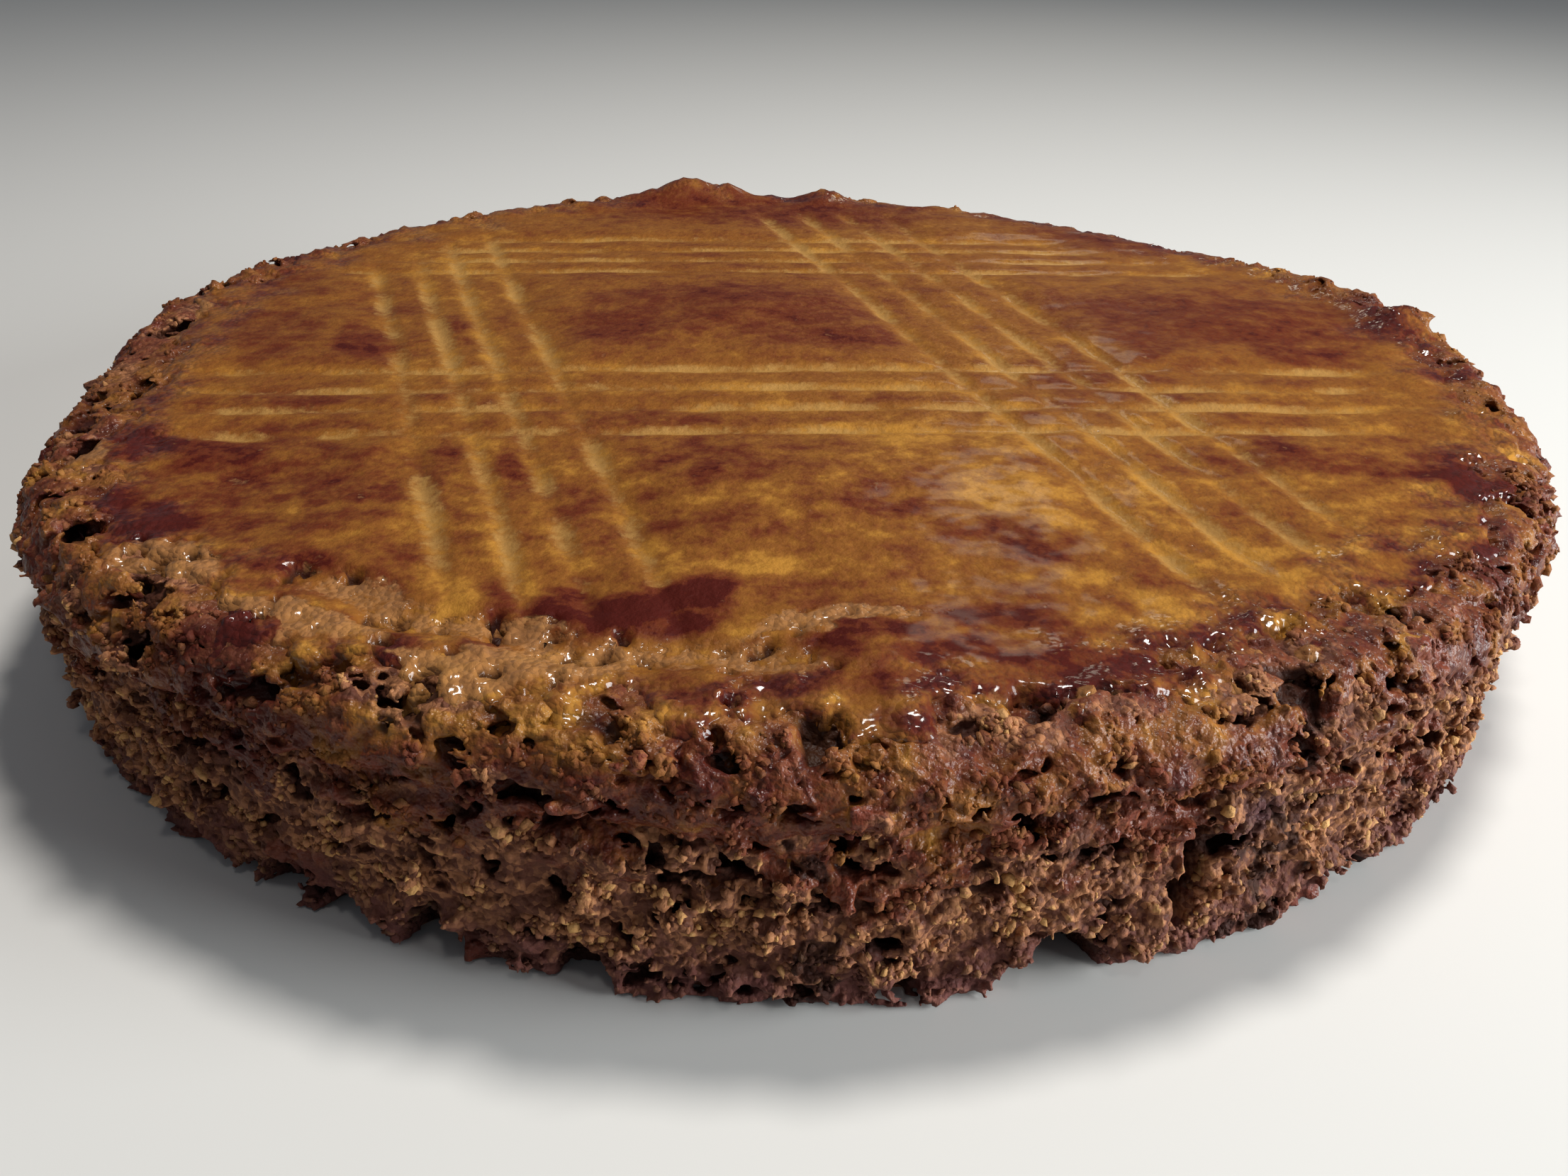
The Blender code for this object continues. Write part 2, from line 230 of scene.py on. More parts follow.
PALE_MEAN, PALE_SWING = 0.75, 1.9           # the same for the pale lines in them
WRINKLE_SIZE = 4.4
WRINKLES_INSIDE, WRINKLES_AT_RIM, WRINKLES_AT_FRONT = 0.2, 0.8, 0.2
NEAR_RIM, NEAR_FRONT = (84.0, 96.0), (-65.0, 0.0)
WAVE_SIZE, WAVE_DEPTH = 11.0, 0.6
PORE_SIZE, PORE_DEPTH = 2.4, 1.5            # pores of the torn ring
PORE_EDGE, PORES_WHERE_TORN = (0.1, 0.14), (0.1, 0.3)
RING_CLUMPS, RING_CRUMBS = 0.1, 0.25        # share of the side's roughness in the torn ring
TOP_TURNS = (0.2, 0.8)      # upright share of the surface, where the top's relief sets in
SEARED = (1.1, 1.5)         # browning at which no pale line is left

# The baked underside
BASE_THICKNESS = 1.2
BASE_INSET = 2.5
BASE_SPOKES, BASE_RINGS = 540, 10
BASE_RAGGED_SIZE, BASE_RAGGED_DEPTH = 9.0, 3.0
BASE_CLEARS_CHIPS = 1.25    # how far it draws back for each millimetre of the chips
BASE_DRAWN = (60.0, 94.0)   # distance from the middle over which it is drawn in

# Browning of the top: x, y, half length, half width, turn in degrees, strength
BROWNED = (
    (-62.0, -2.0, 11.0, 5.0, -63.0, 1.2),
    (-76.0, 3.0, 8.0, 15.0, 10.0, 0.6),
    (-62.0, 20.0, 13.0, 9.0, 20.0, 0.6),
    (-67.0, -26.0, 18.0, 6.0, 3.0, 0.75),
    (-80.0, -41.0, 13.0, 4.5, -69.0, 1.2),
    (-68.0, -60.0, 15.0, 4.5, -43.0, 1.25),
    (-50.0, -68.0, 12.0, 4.0, -8.0, 0.8),
    (-71.0, -41.0, 8.0, 7.0, 0.0, 0.95),
    (-61.0, -34.0, 12.0, 5.0, 0.0, 0.9),
    (-60.0, -50.0, 20.0, 18.0, 0.0, 0.42),
    (-49.0, -53.0, 6.0, 9.0, 15.0, 0.85),
    (-41.0, -46.0, 13.0, 2.4, -72.0, 0.95),
    (-33.5, -42.0, 12.0, 2.4, -72.0, 0.85),
    (-49.0, 4.0, 12.0, 2.6, -72.0, 0.7),
    (-10.0, 16.0, 28.0, 19.0, 0.0, 0.7),
    (-25.0, 5.0, 8.0, 8.0, 0.0, 0.95),
    (6.0, 4.0, 12.0, 8.0, 0.0, 0.8),
    (-8.0, 24.0, 18.0, 7.0, 0.0, 0.9),
    (66.0, 18.0, 30.0, 18.0, 0.0, 0.9),
    (43.0, -10.0, 14.0, 14.0, 0.0, 0.6),
    (0.0, 50.0, 44.0, 13.0, 3.0, 0.3),
    (-10.0, -21.0, 28.0, 14.0, 3.5, 0.25),
    (51.0, 6.0, 8.0, 12.0, 10.0, 1.0),
    (76.0, 2.0, 12.0, 6.0, 0.0, 0.85),
    (-10.0, 84.0, 46.0, 15.0, 0.0, 0.95),
    (55.0, 74.0, 32.0, 12.0, -38.0, 0.9),
    (-10.0, -43.0, 10.0, 8.0, 0.0, 0.7),
    (10.0, -53.0, 8.0, 5.0, 0.0, 0.7),
    (-5.0, -60.0, 12.0, 5.0, 0.0, 0.65),
    (26.0, -61.0, 8.5, 4.5, 0.0, 1.15),
    (-11.5, -76.0, 7.0, 5.5, 0.0, 2.2),
    (-19.0, -76.5, 8.0, 4.5, 0.0, 2.0),
    (-27.0, -75.5, 2.6, 5.5, 10.0, 1.4),
    (-51.5, -85.0, 8.0, 6.5, -30.0, 2.2),
    (-36.0, -89.0, 6.0, 2.8, 60.0, 1.4),
    (8.0, -82.5, 10.0, 3.4, 5.0, 1.4),
    (21.0, -78.5, 8.0, 3.0, 0.0, 1.05),
    (16.0, -89.0, 30.0, 6.5, 5.0, 1.2),
    (43.0, -80.0, 6.0, 4.0, 0.0, 1.0),
    (55.0, -79.0, 8.0, 4.0, 35.0, 1.2),
    (58.0, -37.0, 9.0, 6.0, -10.0, 0.8),
    (74.0, -40.0, 10.0, 5.0, 0.0, 0.75),
    (81.0, -42.0, 11.0, 4.5, -70.0, 1.5),
    (76.0, -58.0, 11.0, 4.0, 58.0, 1.2),
    (92.0, 12.0, 6.0, 26.0, 5.0, 0.9),
    (-84.0, 30.0, 7.0, 24.0, 20.0, 0.6),
)
# Places where the glaze has stayed golden, in the same terms
GOLDEN = (
    (27.0, -49.0, 10.0, 8.0, -20.0, 1.2),
    (-4.0, -68.0, 9.0, 3.6, 0.0, 1.2),
    (52.0, -64.0, 12.0, 8.0, -40.0, 0.8),
    (33.0, -72.0, 14.0, 5.0, -20.0, 0.8),
    (-43.0, -84.0, 7.0, 5.0, 0.0, 1.2),
    (-26.0, -88.0, 14.0, 6.0, 10.0, 0.8),
    (18.0, -32.0, 16.0, 8.0, 0.0, 0.7),
    (40.0, -48.0, 10.0, 6.0, -72.0, 0.5),
    (-10.0, 50.0, 54.0, 11.0, 3.0, 0.3),
    (-56.0, 36.0, 14.0, 18.0, 0.0, 0.5),
    (-8.0, -18.0, 26.0, 9.0, 3.5, 0.3),
    (74.0, -50.0, 6.0, 6.0, 0.0, 0.6),
)
PATCH_RAGGED_SIZE, PATCH_RAGGED_DEPTH = 8.0, 11.0
PATCH_EDGE = (0.35, 1.15)   # share of its size at which a patch starts to fade, and ends

# Places where the glaze has torn and pale, porous crumb shows
BARE = (
    (-24.0, -87.5, 18.0, 6.0, 12.0, 1.5),
    (-63.0, -68.0, 9.0, 4.5, -45.0, 1.3),
    (-47.0, -80.0, 14.0, 4.0, -12.0, 1.4),
    (4.0, -80.0, 14.0, 2.2, 16.0, 1.1),
    (-93.0, 2.0, 4.0, 26.0, 2.0, 1.0),
    (-84.0, -42.0, 4.0, 12.0, 28.0, 0.8),
    (24.0, -94.0, 14.0, 3.0, 12.0, 0.8),
    (44.0, -85.0, 12.0, 4.0, 30.0, 0.8),
    (62.0, -75.0, 9.0, 4.0, 40.0, 0.7),
)
PLUM_BEARING, PLUM_HEIGHT = -63.7, 17.0     # a dark plum-coloured spot on the side

# Soft lamps: name, place, size, power, colour
LAMPS = (
    ("overhead", (120.0, 60.0, 640.0), 150.0, 3.5, (1.0, 0.97, 0.93)),
    ("front", (60.0, -360.0, 540.0), 60.0, 0.2, (1.0, 0.97, 0.95)),
    ("back", (175.0, 700.0, 390.0), 110.0, 0.17, (1.0, 0.93, 0.76)),
    ("right", (620.0, -200.0, 150.0), 420.0, 8.6, (0.94, 1.0, 1.02)),
)
ROOM_COLOUR, ROOM_STRENGTH = (0.8, 0.88, 1.0, 1.0), 0.15
FLOOR_METRES = 6.0

# The camera, as a distance and an elevation from the origin and small turns of its own
CAMERA_DISTANCE = 219.677
CAMERA_ELEVATION = 0.461272
CAMERA_YAW, CAMERA_PITCH, CAMERA_ROLL = -0.0027995, 0.0315304, -0.0209452
CAMERA_LENS = 32.549
SENSOR_WIDTH = 36.0


class Flow:
    """A number that a node tree works out at every point, so that a formula can be written as one."""

    def __init__(self, socket):
        self.socket = socket
        self.tree = socket.id_data

    def __add__(self, other):
        return reckon("ADD", self, other)

    def __radd__(self, other):
        return reckon("ADD", other, self)

    def __sub__(self, other):
        return reckon("SUBTRACT", self, other)

    def __rsub__(self, other):
        return reckon("SUBTRACT", other, self)

    def __mul__(self, other):
        return reckon("MULTIPLY", self, other)

    def __rmul__(self, other):
        return reckon("MULTIPLY", other, self)

    def __truediv__(self, other):
        return reckon("DIVIDE", self, other)

    def __rtruediv__(self, other):
        return reckon("DIVIDE", other, self)

    def __abs__(self):
        return reckon("ABSOLUTE", self)


def new_node(tree, kind, **settings):
    node = tree.nodes.new(kind)
    for name, value in settings.items():
        setattr(node, name, value)
    return node


def feed(socket, value):
    """Links a flow or an output to a socket, or sets a plain value on it."""
    if isinstance(value, Flow):
        value = value.socket
    if isinstance(value, bpy.types.NodeSocket):
        socket.id_data.links.new(value, socket)
    else:
        socket.default_value = value


def reckon(operation, *values, clamp=False):
    """One step of a formula."""
    tree = next(value.tree for value in values if isinstance(value, Flow))
    node = new_node(tree, "ShaderNodeMath", operation=operation, use_clamp=clamp)
    for socket, value in zip(node.inputs, values):
        feed(socket, value)
    return Flow(node.outputs[0])


def most(first, second):
    return reckon("MAXIMUM", first, second)


def least(first, second):
    return reckon("MINIMUM", first, second)


def across_both(first, second):
    """The length of a slope that runs the first distance one way and the second the other."""
    return reckon("SQRT", first * first + second * second)


def ramp(value, low, high, start=0.0, end=1.0):
    """A soft step from start, where value is at low, to end, where it is at high."""
    node = new_node(value.tree, "ShaderNodeMapRange", interpolation_type="SMOOTHSTEP")
    settings = {"Value": value, "From Min": low, "From Max": high, "To Min": start, "To Max": end}
    for name, setting in settings.items():
        feed(node.inputs[name], setting)
    return Flow(node.outputs["Result"])


def bell(distance, radius):
    """1 in the middle, and 0 from the radius on."""
    return ramp(abs(distance), 0.0, radius, 1.0, 0.0)


def mixed(share, first, second):
    """The first where share is 0, the second where it is 1."""
    return first + share * (second - first)


class Place:
    """A point in millimetres, with its distance from the middle and its bearing."""

    def __init__(self, vector):
        self.vector = vector
        self.tree = vector.id_data
        parts = new_node(self.tree, "ShaderNodeSeparateXYZ")
        feed(parts.inputs[0], vector)
        self.x, self.y, self.z = (Flow(output) for output in parts.outputs)

    @functools.cached_property
    def radius(self):
        return across_both(self.x, self.y)

    @functools.cached_property
    def bearing(self):
        return reckon("ARCTAN2", self.y, self.x) / DEGREE

    @classmethod
    def of(cls, tree, position):
        """The place of a position in metres."""
        scaled = new_node(tree, "ShaderNodeVectorMath", operation="MULTIPLY_ADD")
        feed(scaled.inputs[0], position)
        scaled.inputs[1].default_value = (1.0 / MM,) * 3
        scaled.inputs[2].default_value = (*MIDDLE, 0.0)
        return cls(scaled.outputs[0])


def joined(x, y, z):
    """The vector of three numbers, the first of them a flow."""
    node = new_node(x.tree, "ShaderNodeCombineXYZ")
    for socket, value in zip(node.inputs, (x, y, z)):
        feed(socket, value)
    return node.outputs[0]


def formula(work):
    """Turns a function of a place into a node group, made once and used by every tree that calls it."""
    made = {}

    def use(place):
        if "tree" not in made:
            tree = bpy.data.node_groups.new(work.__name__.replace("_", " "), "GeometryNodeTree")
            tree.interface.new_socket("Place", in_out="INPUT", socket_type="NodeSocketVector")
            tree.interface.new_socket("Value", in_out="OUTPUT", socket_type="NodeSocketFloat")
            entry = new_node(tree, "NodeGroupInput")
            leave = new_node(tree, "NodeGroupOutput")
            feed(leave.inputs[0], work(Place(entry.outputs[0])))
            made["tree"] = tree
        node = new_node(place.tree, "GeometryNodeGroup", node_tree=made["tree"])
        feed(node.inputs[0], place.vector)
        return Flow(node.outputs[0])

    return use


def on_lattice(place, size, seed, stretch):
    """The point where a pattern with features of that size is read."""
    node = new_node(place.tree, "ShaderNodeVectorMath", operation="MULTIPLY_ADD")
    feed(node.inputs[0], place.vector)
    node.inputs[1].default_value = tuple(s / size for s in stretch)
    node.inputs[2].default_value = (seed * 7.31, seed * 3.77, seed * 5.13)
    return node.outputs[0]


def uneven(place, size, seed, detail=0.0, stretch=(1.0, 1.0, 1.0), harsh=0.5):
    """Smooth noise from about -0.5 to 0.5, with bumps of the given size."""
    node = new_node(place.tree, "ShaderNodeTexNoise")
    feed(node.inputs["Vector"], on_lattice(place, size, seed, stretch))
    node.inputs["Scale"].default_value = 1.0
    node.inputs["Detail"].default_value = detail
    node.inputs["Roughness"].default_value = harsh
    return Flow(node.outputs[0]) - 0.5


def grains(place, size, seed, stretch=(1.0, 1.0, 1.0)):
    """Distance from the middle of the nearest grain, as a share of size, and a number that is its own."""
    node = new_node(place.tree, "ShaderNodeTexVoronoi")
    feed(node.inputs["Vector"], on_lattice(place, size, seed, stretch))
    node.inputs["Scale"].default_value = 1.0
    own = new_node(place.tree, "ShaderNodeSeparateXYZ")
    feed(own.inputs[0], node.outputs["Color"])
    return Flow(node.outputs["Distance"]), Flow(own.outputs[0])


def apart(bearing, at):
    """Degrees from one bearing to another, from -180 to 180."""
    return reckon("WRAP", bearing - at, 180.0, -180.0)


def along_side(place, bearing):
    """Distance along the side from a bearing."""
    return apart(place.bearing, bearing) * (BASE_RADIUS * DEGREE)


def total(flows):
    """The sum of a few flows."""
    flows = list(flows)
    answer = flows[0]
    for flow in flows[1:]:
        answer = answer + flow
    return answer


def largest(flows):
    """The largest of a few flows."""
    flows = list(flows)
    answer = flows[0]
    for flow in flows[1:]:
        answer = most(answer, flow)
    return answer


@formula
def out_of_round(place):
    """How far the outline stands out from a true circle."""
    bulges = (out * bell(apart(place.bearing, at), half * LUMP_SPREAD) for at, half, out in OUT_OF_ROUND)
    return total(bulges) * ramp(place.radius, RIM_RADIUS / 2, RIM_RADIUS)


def across_drag(place, heading):
    """Distance across a drag of the fork."""
    turn = heading * DEGREE
    return place.y * math.cos(turn) - place.x * math.sin(turn)


def fork_lines(place, width):
    """1 along the middle of each tine's mark, and 0 from half the width on."""
    lines = []
    for number, (heading, tines) in enumerate(DRAGS):
        wander = uneven(place, WANDER_LENGTH, 10 + number, detail=1.5) * TINE_WANDER
        across = across_drag(place, heading) + wander
        lines += [bell(across - tine, width / 2) for tine in tines]
    return largest(lines)


@formula
def groove(place):
    """How deep the fork's marks go, from 0 to 1."""
    return fork_lines(place, GROOVE_WIDTH)


@formula
def pale_line(place):
    """How thin the glaze lies in the fork's marks and beside them."""
    return fork_lines(place, PALE_LINE_WIDTH)


@formula
def band(place):
    """1 inside the width of a drag of the fork, and 0 outside it."""
    return largest(
        ramp(
            abs(across_drag(place, heading) - (tines[0] + tines[-1]) / 2),
            (tines[-1] - tines[0]) / 2,
            (tines[-1] - tines[0]) / 2 + 2 * GROOVE_WIDTH,
            1.0,
            0.0,
        )
        for heading, tines in DRAGS
    )


@formula
def grooves_left(place):
    """1 where the grooves are whole, and 0 where they have run out towards the rim."""
    return ramp(place.radius, GROOVES_FADE, GROOVES_END, 1.0, 0.0)


@formula
def crack(place):
    """How deep the torn ring inside the front rim goes, from 0 to 1."""
    start = ramp(place.bearing, CRACK_FROM, CRACK_FROM + CRACK_FADE)
    end = ramp(place.bearing, CRACK_TO - CRACK_FADE, CRACK_TO, 1.0, 0.0)
    ragged = uneven(place, CRACK_SWING_LENGTH, 3) * CRACK_WIDTH
    return start * end * bell(place.radius - CRACK_RADIUS - ragged, CRACK_WIDTH)


@formula
def pit_depth(place):
    """How deep the pits at the front rim go."""
    across = place.x + uneven(place, PIT_RAGGED_SIZE, 9) * PIT_RAGGED_DEPTH
    along = place.y + uneven(place, PIT_RAGGED_SIZE, 19) * PIT_RAGGED_DEPTH
    return largest(depth * bell(across_both(across - x, along - y), size) for x, y, size, depth in PITS)


@formula
def rim_relief(place):
    """Height of the rim's lumps, pits and torn ring over the turned form."""
    near_edge = ramp(place.radius, RIM_RADIUS - RIM_LUMP_REACH, RIM_RADIUS - EDGE_ROUND / 2)
    lumps = total(rise * bell(apart(place.bearing, at), half * LUMP_SPREAD) for at, half, rise in RIM_LUMPS)
    towards_rim = ramp(place.radius, GROOVES_FADE, GROOVES_END)
    rough = uneven(place, RIM_ROUGH_SIZE, 2) * RIM_ROUGH_DEPTH * towards_rim
    swells = total(rise * bell(across_both(place.x - x, place.y - y), size) for x, y, size, rise in SWELLS)
    return near_edge * lumps + rough + swells - pit_depth(place) - crack(place) * CRACK_DEPTH


@formula
def break_height(place):
    """Height of the break under the crust."""
    return CRUST_LEDGE + uneven(place, LEDGE_SWING_LENGTH, 4, stretch=(1.0, 1.0, 0.0)) * LEDGE_SWING


@formula
def foot_chips(place):
    """How far the crumbled bottom edge draws back."""
    crumbled = ramp(uneven(place, CHIP_LENGTH, 5, stretch=(1.0, 1.0, 0.0)), 0.05, 0.3)
    back = CHIP_DEPTH * crumbled * ramp(place.z, CHIP_HEIGHT * 0.4, CHIP_HEIGHT, 1.0, 0.0)
    for at, half, height, depth in NOTCHES:
        inside = bell(apart(place.bearing, at), half)
        roof = height * reckon("SQRT", inside) + 0.01
        back = most(back, depth * ramp(inside, 0.0, NOTCH_BLUNT) * ramp(place.z, roof / 2, roof, 1.0, 0.0))
    return back


@formula
def crevice(place):
    """How deep the upright crack at the front right goes, from 0 to 1."""
    lean = (place.z - CREVICE_LOW) * CREVICE_LEAN
    upright = ramp(place.z, CREVICE_LOW - CREVICE_WIDTH, CREVICE_LOW)
    upright = upright * ramp(place.z, CREVICE_HIGH - CREVICE_WIDTH, CREVICE_HIGH, 1.0, 0.0)
    return bell(along_side(place, CREVICE_BEARING) - lean, CREVICE_WIDTH) * upright


@formula
def side_form(place):
    """How far the side stands out from the turned form, without its crumb."""
    above_break = place.z - break_height(place)
    crags = uneven(place, CRAG_SIZE, 6, stretch=(1.0, 1.0, LAYER_STRETCH))
    out = CRAG_DEPTH * (CRAG_BIAS - 2.0 * abs(crags))
    torn = ramp(uneven(place, LEDGE_GAP_LENGTH, 8, stretch=(1.0, 1.0, 0.0)), -0.2, 0.2)
    out = out - LEDGE_DEPTH * bell(above_break, LEDGE_WIDTH) * torn
    out = out + CRUST_OVERHANG * ramp(above_break, 0.0, LEDGE_WIDTH)
    out = out - foot_chips(place)
    out = out - CREVICE_DEPTH * crevice(place)
    to_knob = across_both(along_side(place, KNOB_BEARING), place.z - KNOB_HEIGHT)
    return out + KNOB_OUT * bell(to_knob, KNOB_SIZE)


@formula
def glaze_reach(place):
    """How far the glaze runs from the middle, along the surface, before its edge is torn."""
    more = (reach * bell(apart(place.bearing, at), half) for at, half, reach in GLAZE_REACHES)
    return GLAZE_RUN + total(more)


@formula
def glaze_end(place):
    """How far the glaze runs from the middle, along the surface."""
    tears = uneven(place, TEAR_SIZE, 21) * TEAR_DEPTH
    fine_tears = uneven(place, FINE_TEAR_SIZE, 22, detail=1.0) * FINE_TEAR_DEPTH
    return glaze_reach(place) + (tears + fine_tears) * ramp(place.radius, *TEARS_FROM)


def glazed(place, run):
    """1 where the glazed crust is whole, and 0 where the bare crumb shows."""
    whole = ramp(glaze_end(place) - run, -GLAZE_EDGE_BLUR, GLAZE_EDGE_BLUR)
    return whole * ramp(pit_depth(place), *GLAZE_OPENS, 1.0, 0.0)


def skin_form(place):
    """How far a place lies outside the part's form, and how far it is from the middle along the surface."""
    radius = place.radius - out_of_round(place)
    widening = (RIM_RADIUS - BASE_RADIUS) / CORNER_HEIGHT
    wall = BASE_RADIUS + widening * least(place.z, CORNER_HEIGHT)
    top = HEIGHT + TOP_DOME * (1.0 - (radius / FLAT_EDGE) * (radius / FLAT_EDGE)) + rim_relief(place)
    beyond = radius - wall - side_form(place) + EDGE_ROUND
    above = place.z - top + EDGE_ROUND
    outside = across_both(most(beyond, 0.0), most(above, 0.0)) + least(most(beyond, above), 0.0)
    outside = outside - EDGE_ROUND
    outward = most(most(radius - FLAT_EDGE, 0.0), least(CORNER_HEIGHT - place.z, 1.0))
    turned = reckon("ARCTAN2", outward, most(place.z - CORNER_HEIGHT, 0.001))
    run = least(radius, FLAT_EDGE) + EDGE_ROUND * turned + most(CORNER_HEIGHT - place.z, 0.0)
    return outside, run


def swing_back(place, size, depth, seed, **settings):
    """Rounded lumps with creases between them, as how far they draw the skin back."""
    swing = uneven(place, size, seed, **settings)
    return (MEAN_SWING - abs(swing) + swing * 0.5) * depth


@formula
def clumps(place):
    """How far the crumb's heaps and clumps draw its skin back from the mean form."""
    heaps = uneven(place, SWELL_SIZE, 33, detail=1.0) * SWELL_DEPTH
    return heaps + swing_back(place, CLUMP_SIZE, CLUMP_DEPTH, 31, stretch=(1.0, 1.0, CLUMP_STRETCH))


@formula
def crumbs(place):
    """The same for its single crumbs."""
    return swing_back(place, CRUMB_SIZE, CRUMB_DEPTH, 32, detail=1.0, harsh=CRUMB_HARSH)


def crusted(place, past):
    """1 where a patch of crust covers the crumb of the rim, and 0 where the crumb is bare."""
    ragged = uneven(place, CRUSTED_SIZE, 35, detail=3.0, harsh=0.6) * CRUSTED_RAGGED
    return ramp(past + ragged, *CRUSTED_END, 1.0, 0.0)


def roughness(place, past):
    """How rough the crumb is, and how much of it shows: none under the glaze, all on the bare side."""
    shown = most(ramp(past, *CRUMB_SHOWS), ramp(pit_depth(place), *PIT_SHOWS))
    return shown * mixed(crusted(place, past), 1.0, CALM_AT_CRUST), shown


def crumb_skin(place):
    """How far a place lies outside the crumb's skin, its mean form and its clumps, and past the glaze."""
    form, run = skin_form(place)
    past = run - glaze_end(place)
    rough, shown = roughness(place, past)
    form = form + GLAZE_BED * glazed(place, run) + GLAZE_BED_INSIDE * (1.0 - shown)
    tip = form + clumps(place) * rough * ramp(place.z, *FOOT_HEIGHTS, CALM_AT_FOOT, 1.0)
    tip = tip + crevice(place) * CREVICE_EXTRA
    skin = tip + crumbs(place) * rough
    hollow = uneven(place, HOLLOW_SIZE, 34, 2.5, (1.0, 1.0, HOLLOW_STRETCH), harsh=0.6)
    hollow = hollow - HOLLOW_FROM + MORE_HOLLOWS * ramp(place.z, *UPPER_HALF)
    hollow = (hollow - FEWER_HOLLOWS * (1.0 - shown)) * HOLLOW_STEEP
    skin = most(skin, least(hollow, form + HOLLOW_DEEPEST))
    return skin, form, tip, past


def group_tree(name, inputs):
    """An empty Geometry Nodes tree with a mesh going in and out, and numbers going in by name."""
    tree = bpy.data.node_groups.new(name, "GeometryNodeTree")
    tree.interface.new_socket("Geometry", in_out="INPUT", socket_type="NodeSocketGeometry")
    tree.interface.new_socket("Geometry", in_out="OUTPUT", socket_type="NodeSocketGeometry")
    for label, value in inputs.items():
        socket = tree.interface.new_socket(label, in_out="INPUT", socket_type="NodeSocketFloat")
        socket.default_value = value
    entry = new_node(tree, "NodeGroupInput")
    return tree, entry, new_node(tree, "NodeGroupOutput")


def position_parts(tree):
    """The three coordinates of the point that a tree works on, in metres."""
    position = new_node(tree, "GeometryNodeInputPosition")
    parts = new_node(tree, "ShaderNodeSeparateXYZ")
    feed(parts.inputs[0], position.outputs[0])
    return [Flow(output) for output in parts.outputs]


def kept_number(tree, name):
    """A number that another tree, or an earlier node, has kept on the mesh."""
    node = new_node(tree, "GeometryNodeInputNamedAttribute", data_type="FLOAT")
    node.inputs["Name"].default_value = name
    return Flow(node.outputs["Attribute"])


def keep_number(tree, geometry, name, value):
    """Keeps a flow on the mesh's points under a name, for the material."""
    node = new_node(tree, "GeometryNodeStoreNamedAttribute", data_type="FLOAT", domain="POINT")
    feed(node.inputs["Geometry"], geometry)
    node.inputs["Name"].default_value = name
    feed(node.inputs["Value"], value)
    return node.outputs["Geometry"]


def finish_tree(tree, exit_node, geometry, material, smooth=True):
    """Ends a tree: shaded smooth, with real meshes for instances, in its material."""
    shade = new_node(tree, "GeometryNodeSetShadeSmooth")
    feed(shade.inputs["Geometry"], geometry)
    shade.inputs["Shade Smooth"].default_value = smooth
    real = new_node(tree, "GeometryNodeRealizeInstances")
    feed(real.inputs["Geometry"], shade.outputs[0])
    dress = new_node(tree, "GeometryNodeSetMaterial")
    feed(dress.inputs["Geometry"], real.outputs[0])
    dress.inputs["Material"].default_value = material
    feed(exit_node.inputs[0], dress.outputs[0])


def grow(name, tree, settings, seed_mesh=None):
    """A plain mesh object made by a tree."""
    maker = bpy.data.objects.new(name + "_maker", seed_mesh or bpy.data.meshes.new(name + "_seed"))
    bpy.context.scene.collection.objects.link(maker)
    modifier = maker.modifiers.new("grow", "NODES")
    modifier.node_group = tree
    identifiers = {
        item.name: item.identifier
        for item in tree.interface.items_tree
        if item.item_type == "SOCKET" and item.in_out == "INPUT"
    }
    for label, value in settings.items():
        modifier[identifiers[label]] = value
    maker.update_tag()
    bpy.context.view_layer.update()
    depsgraph = bpy.context.evaluated_depsgraph_get()
    mesh = bpy.data.meshes.new_from_object(maker.evaluated_get(depsgraph))
    maker.modifiers.remove(modifier)
    bpy.data.objects.remove(maker)
    mesh.name = name
    piece = bpy.data.objects.new(name, mesh)
    bpy.context.scene.collection.objects.link(piece)
    return piece


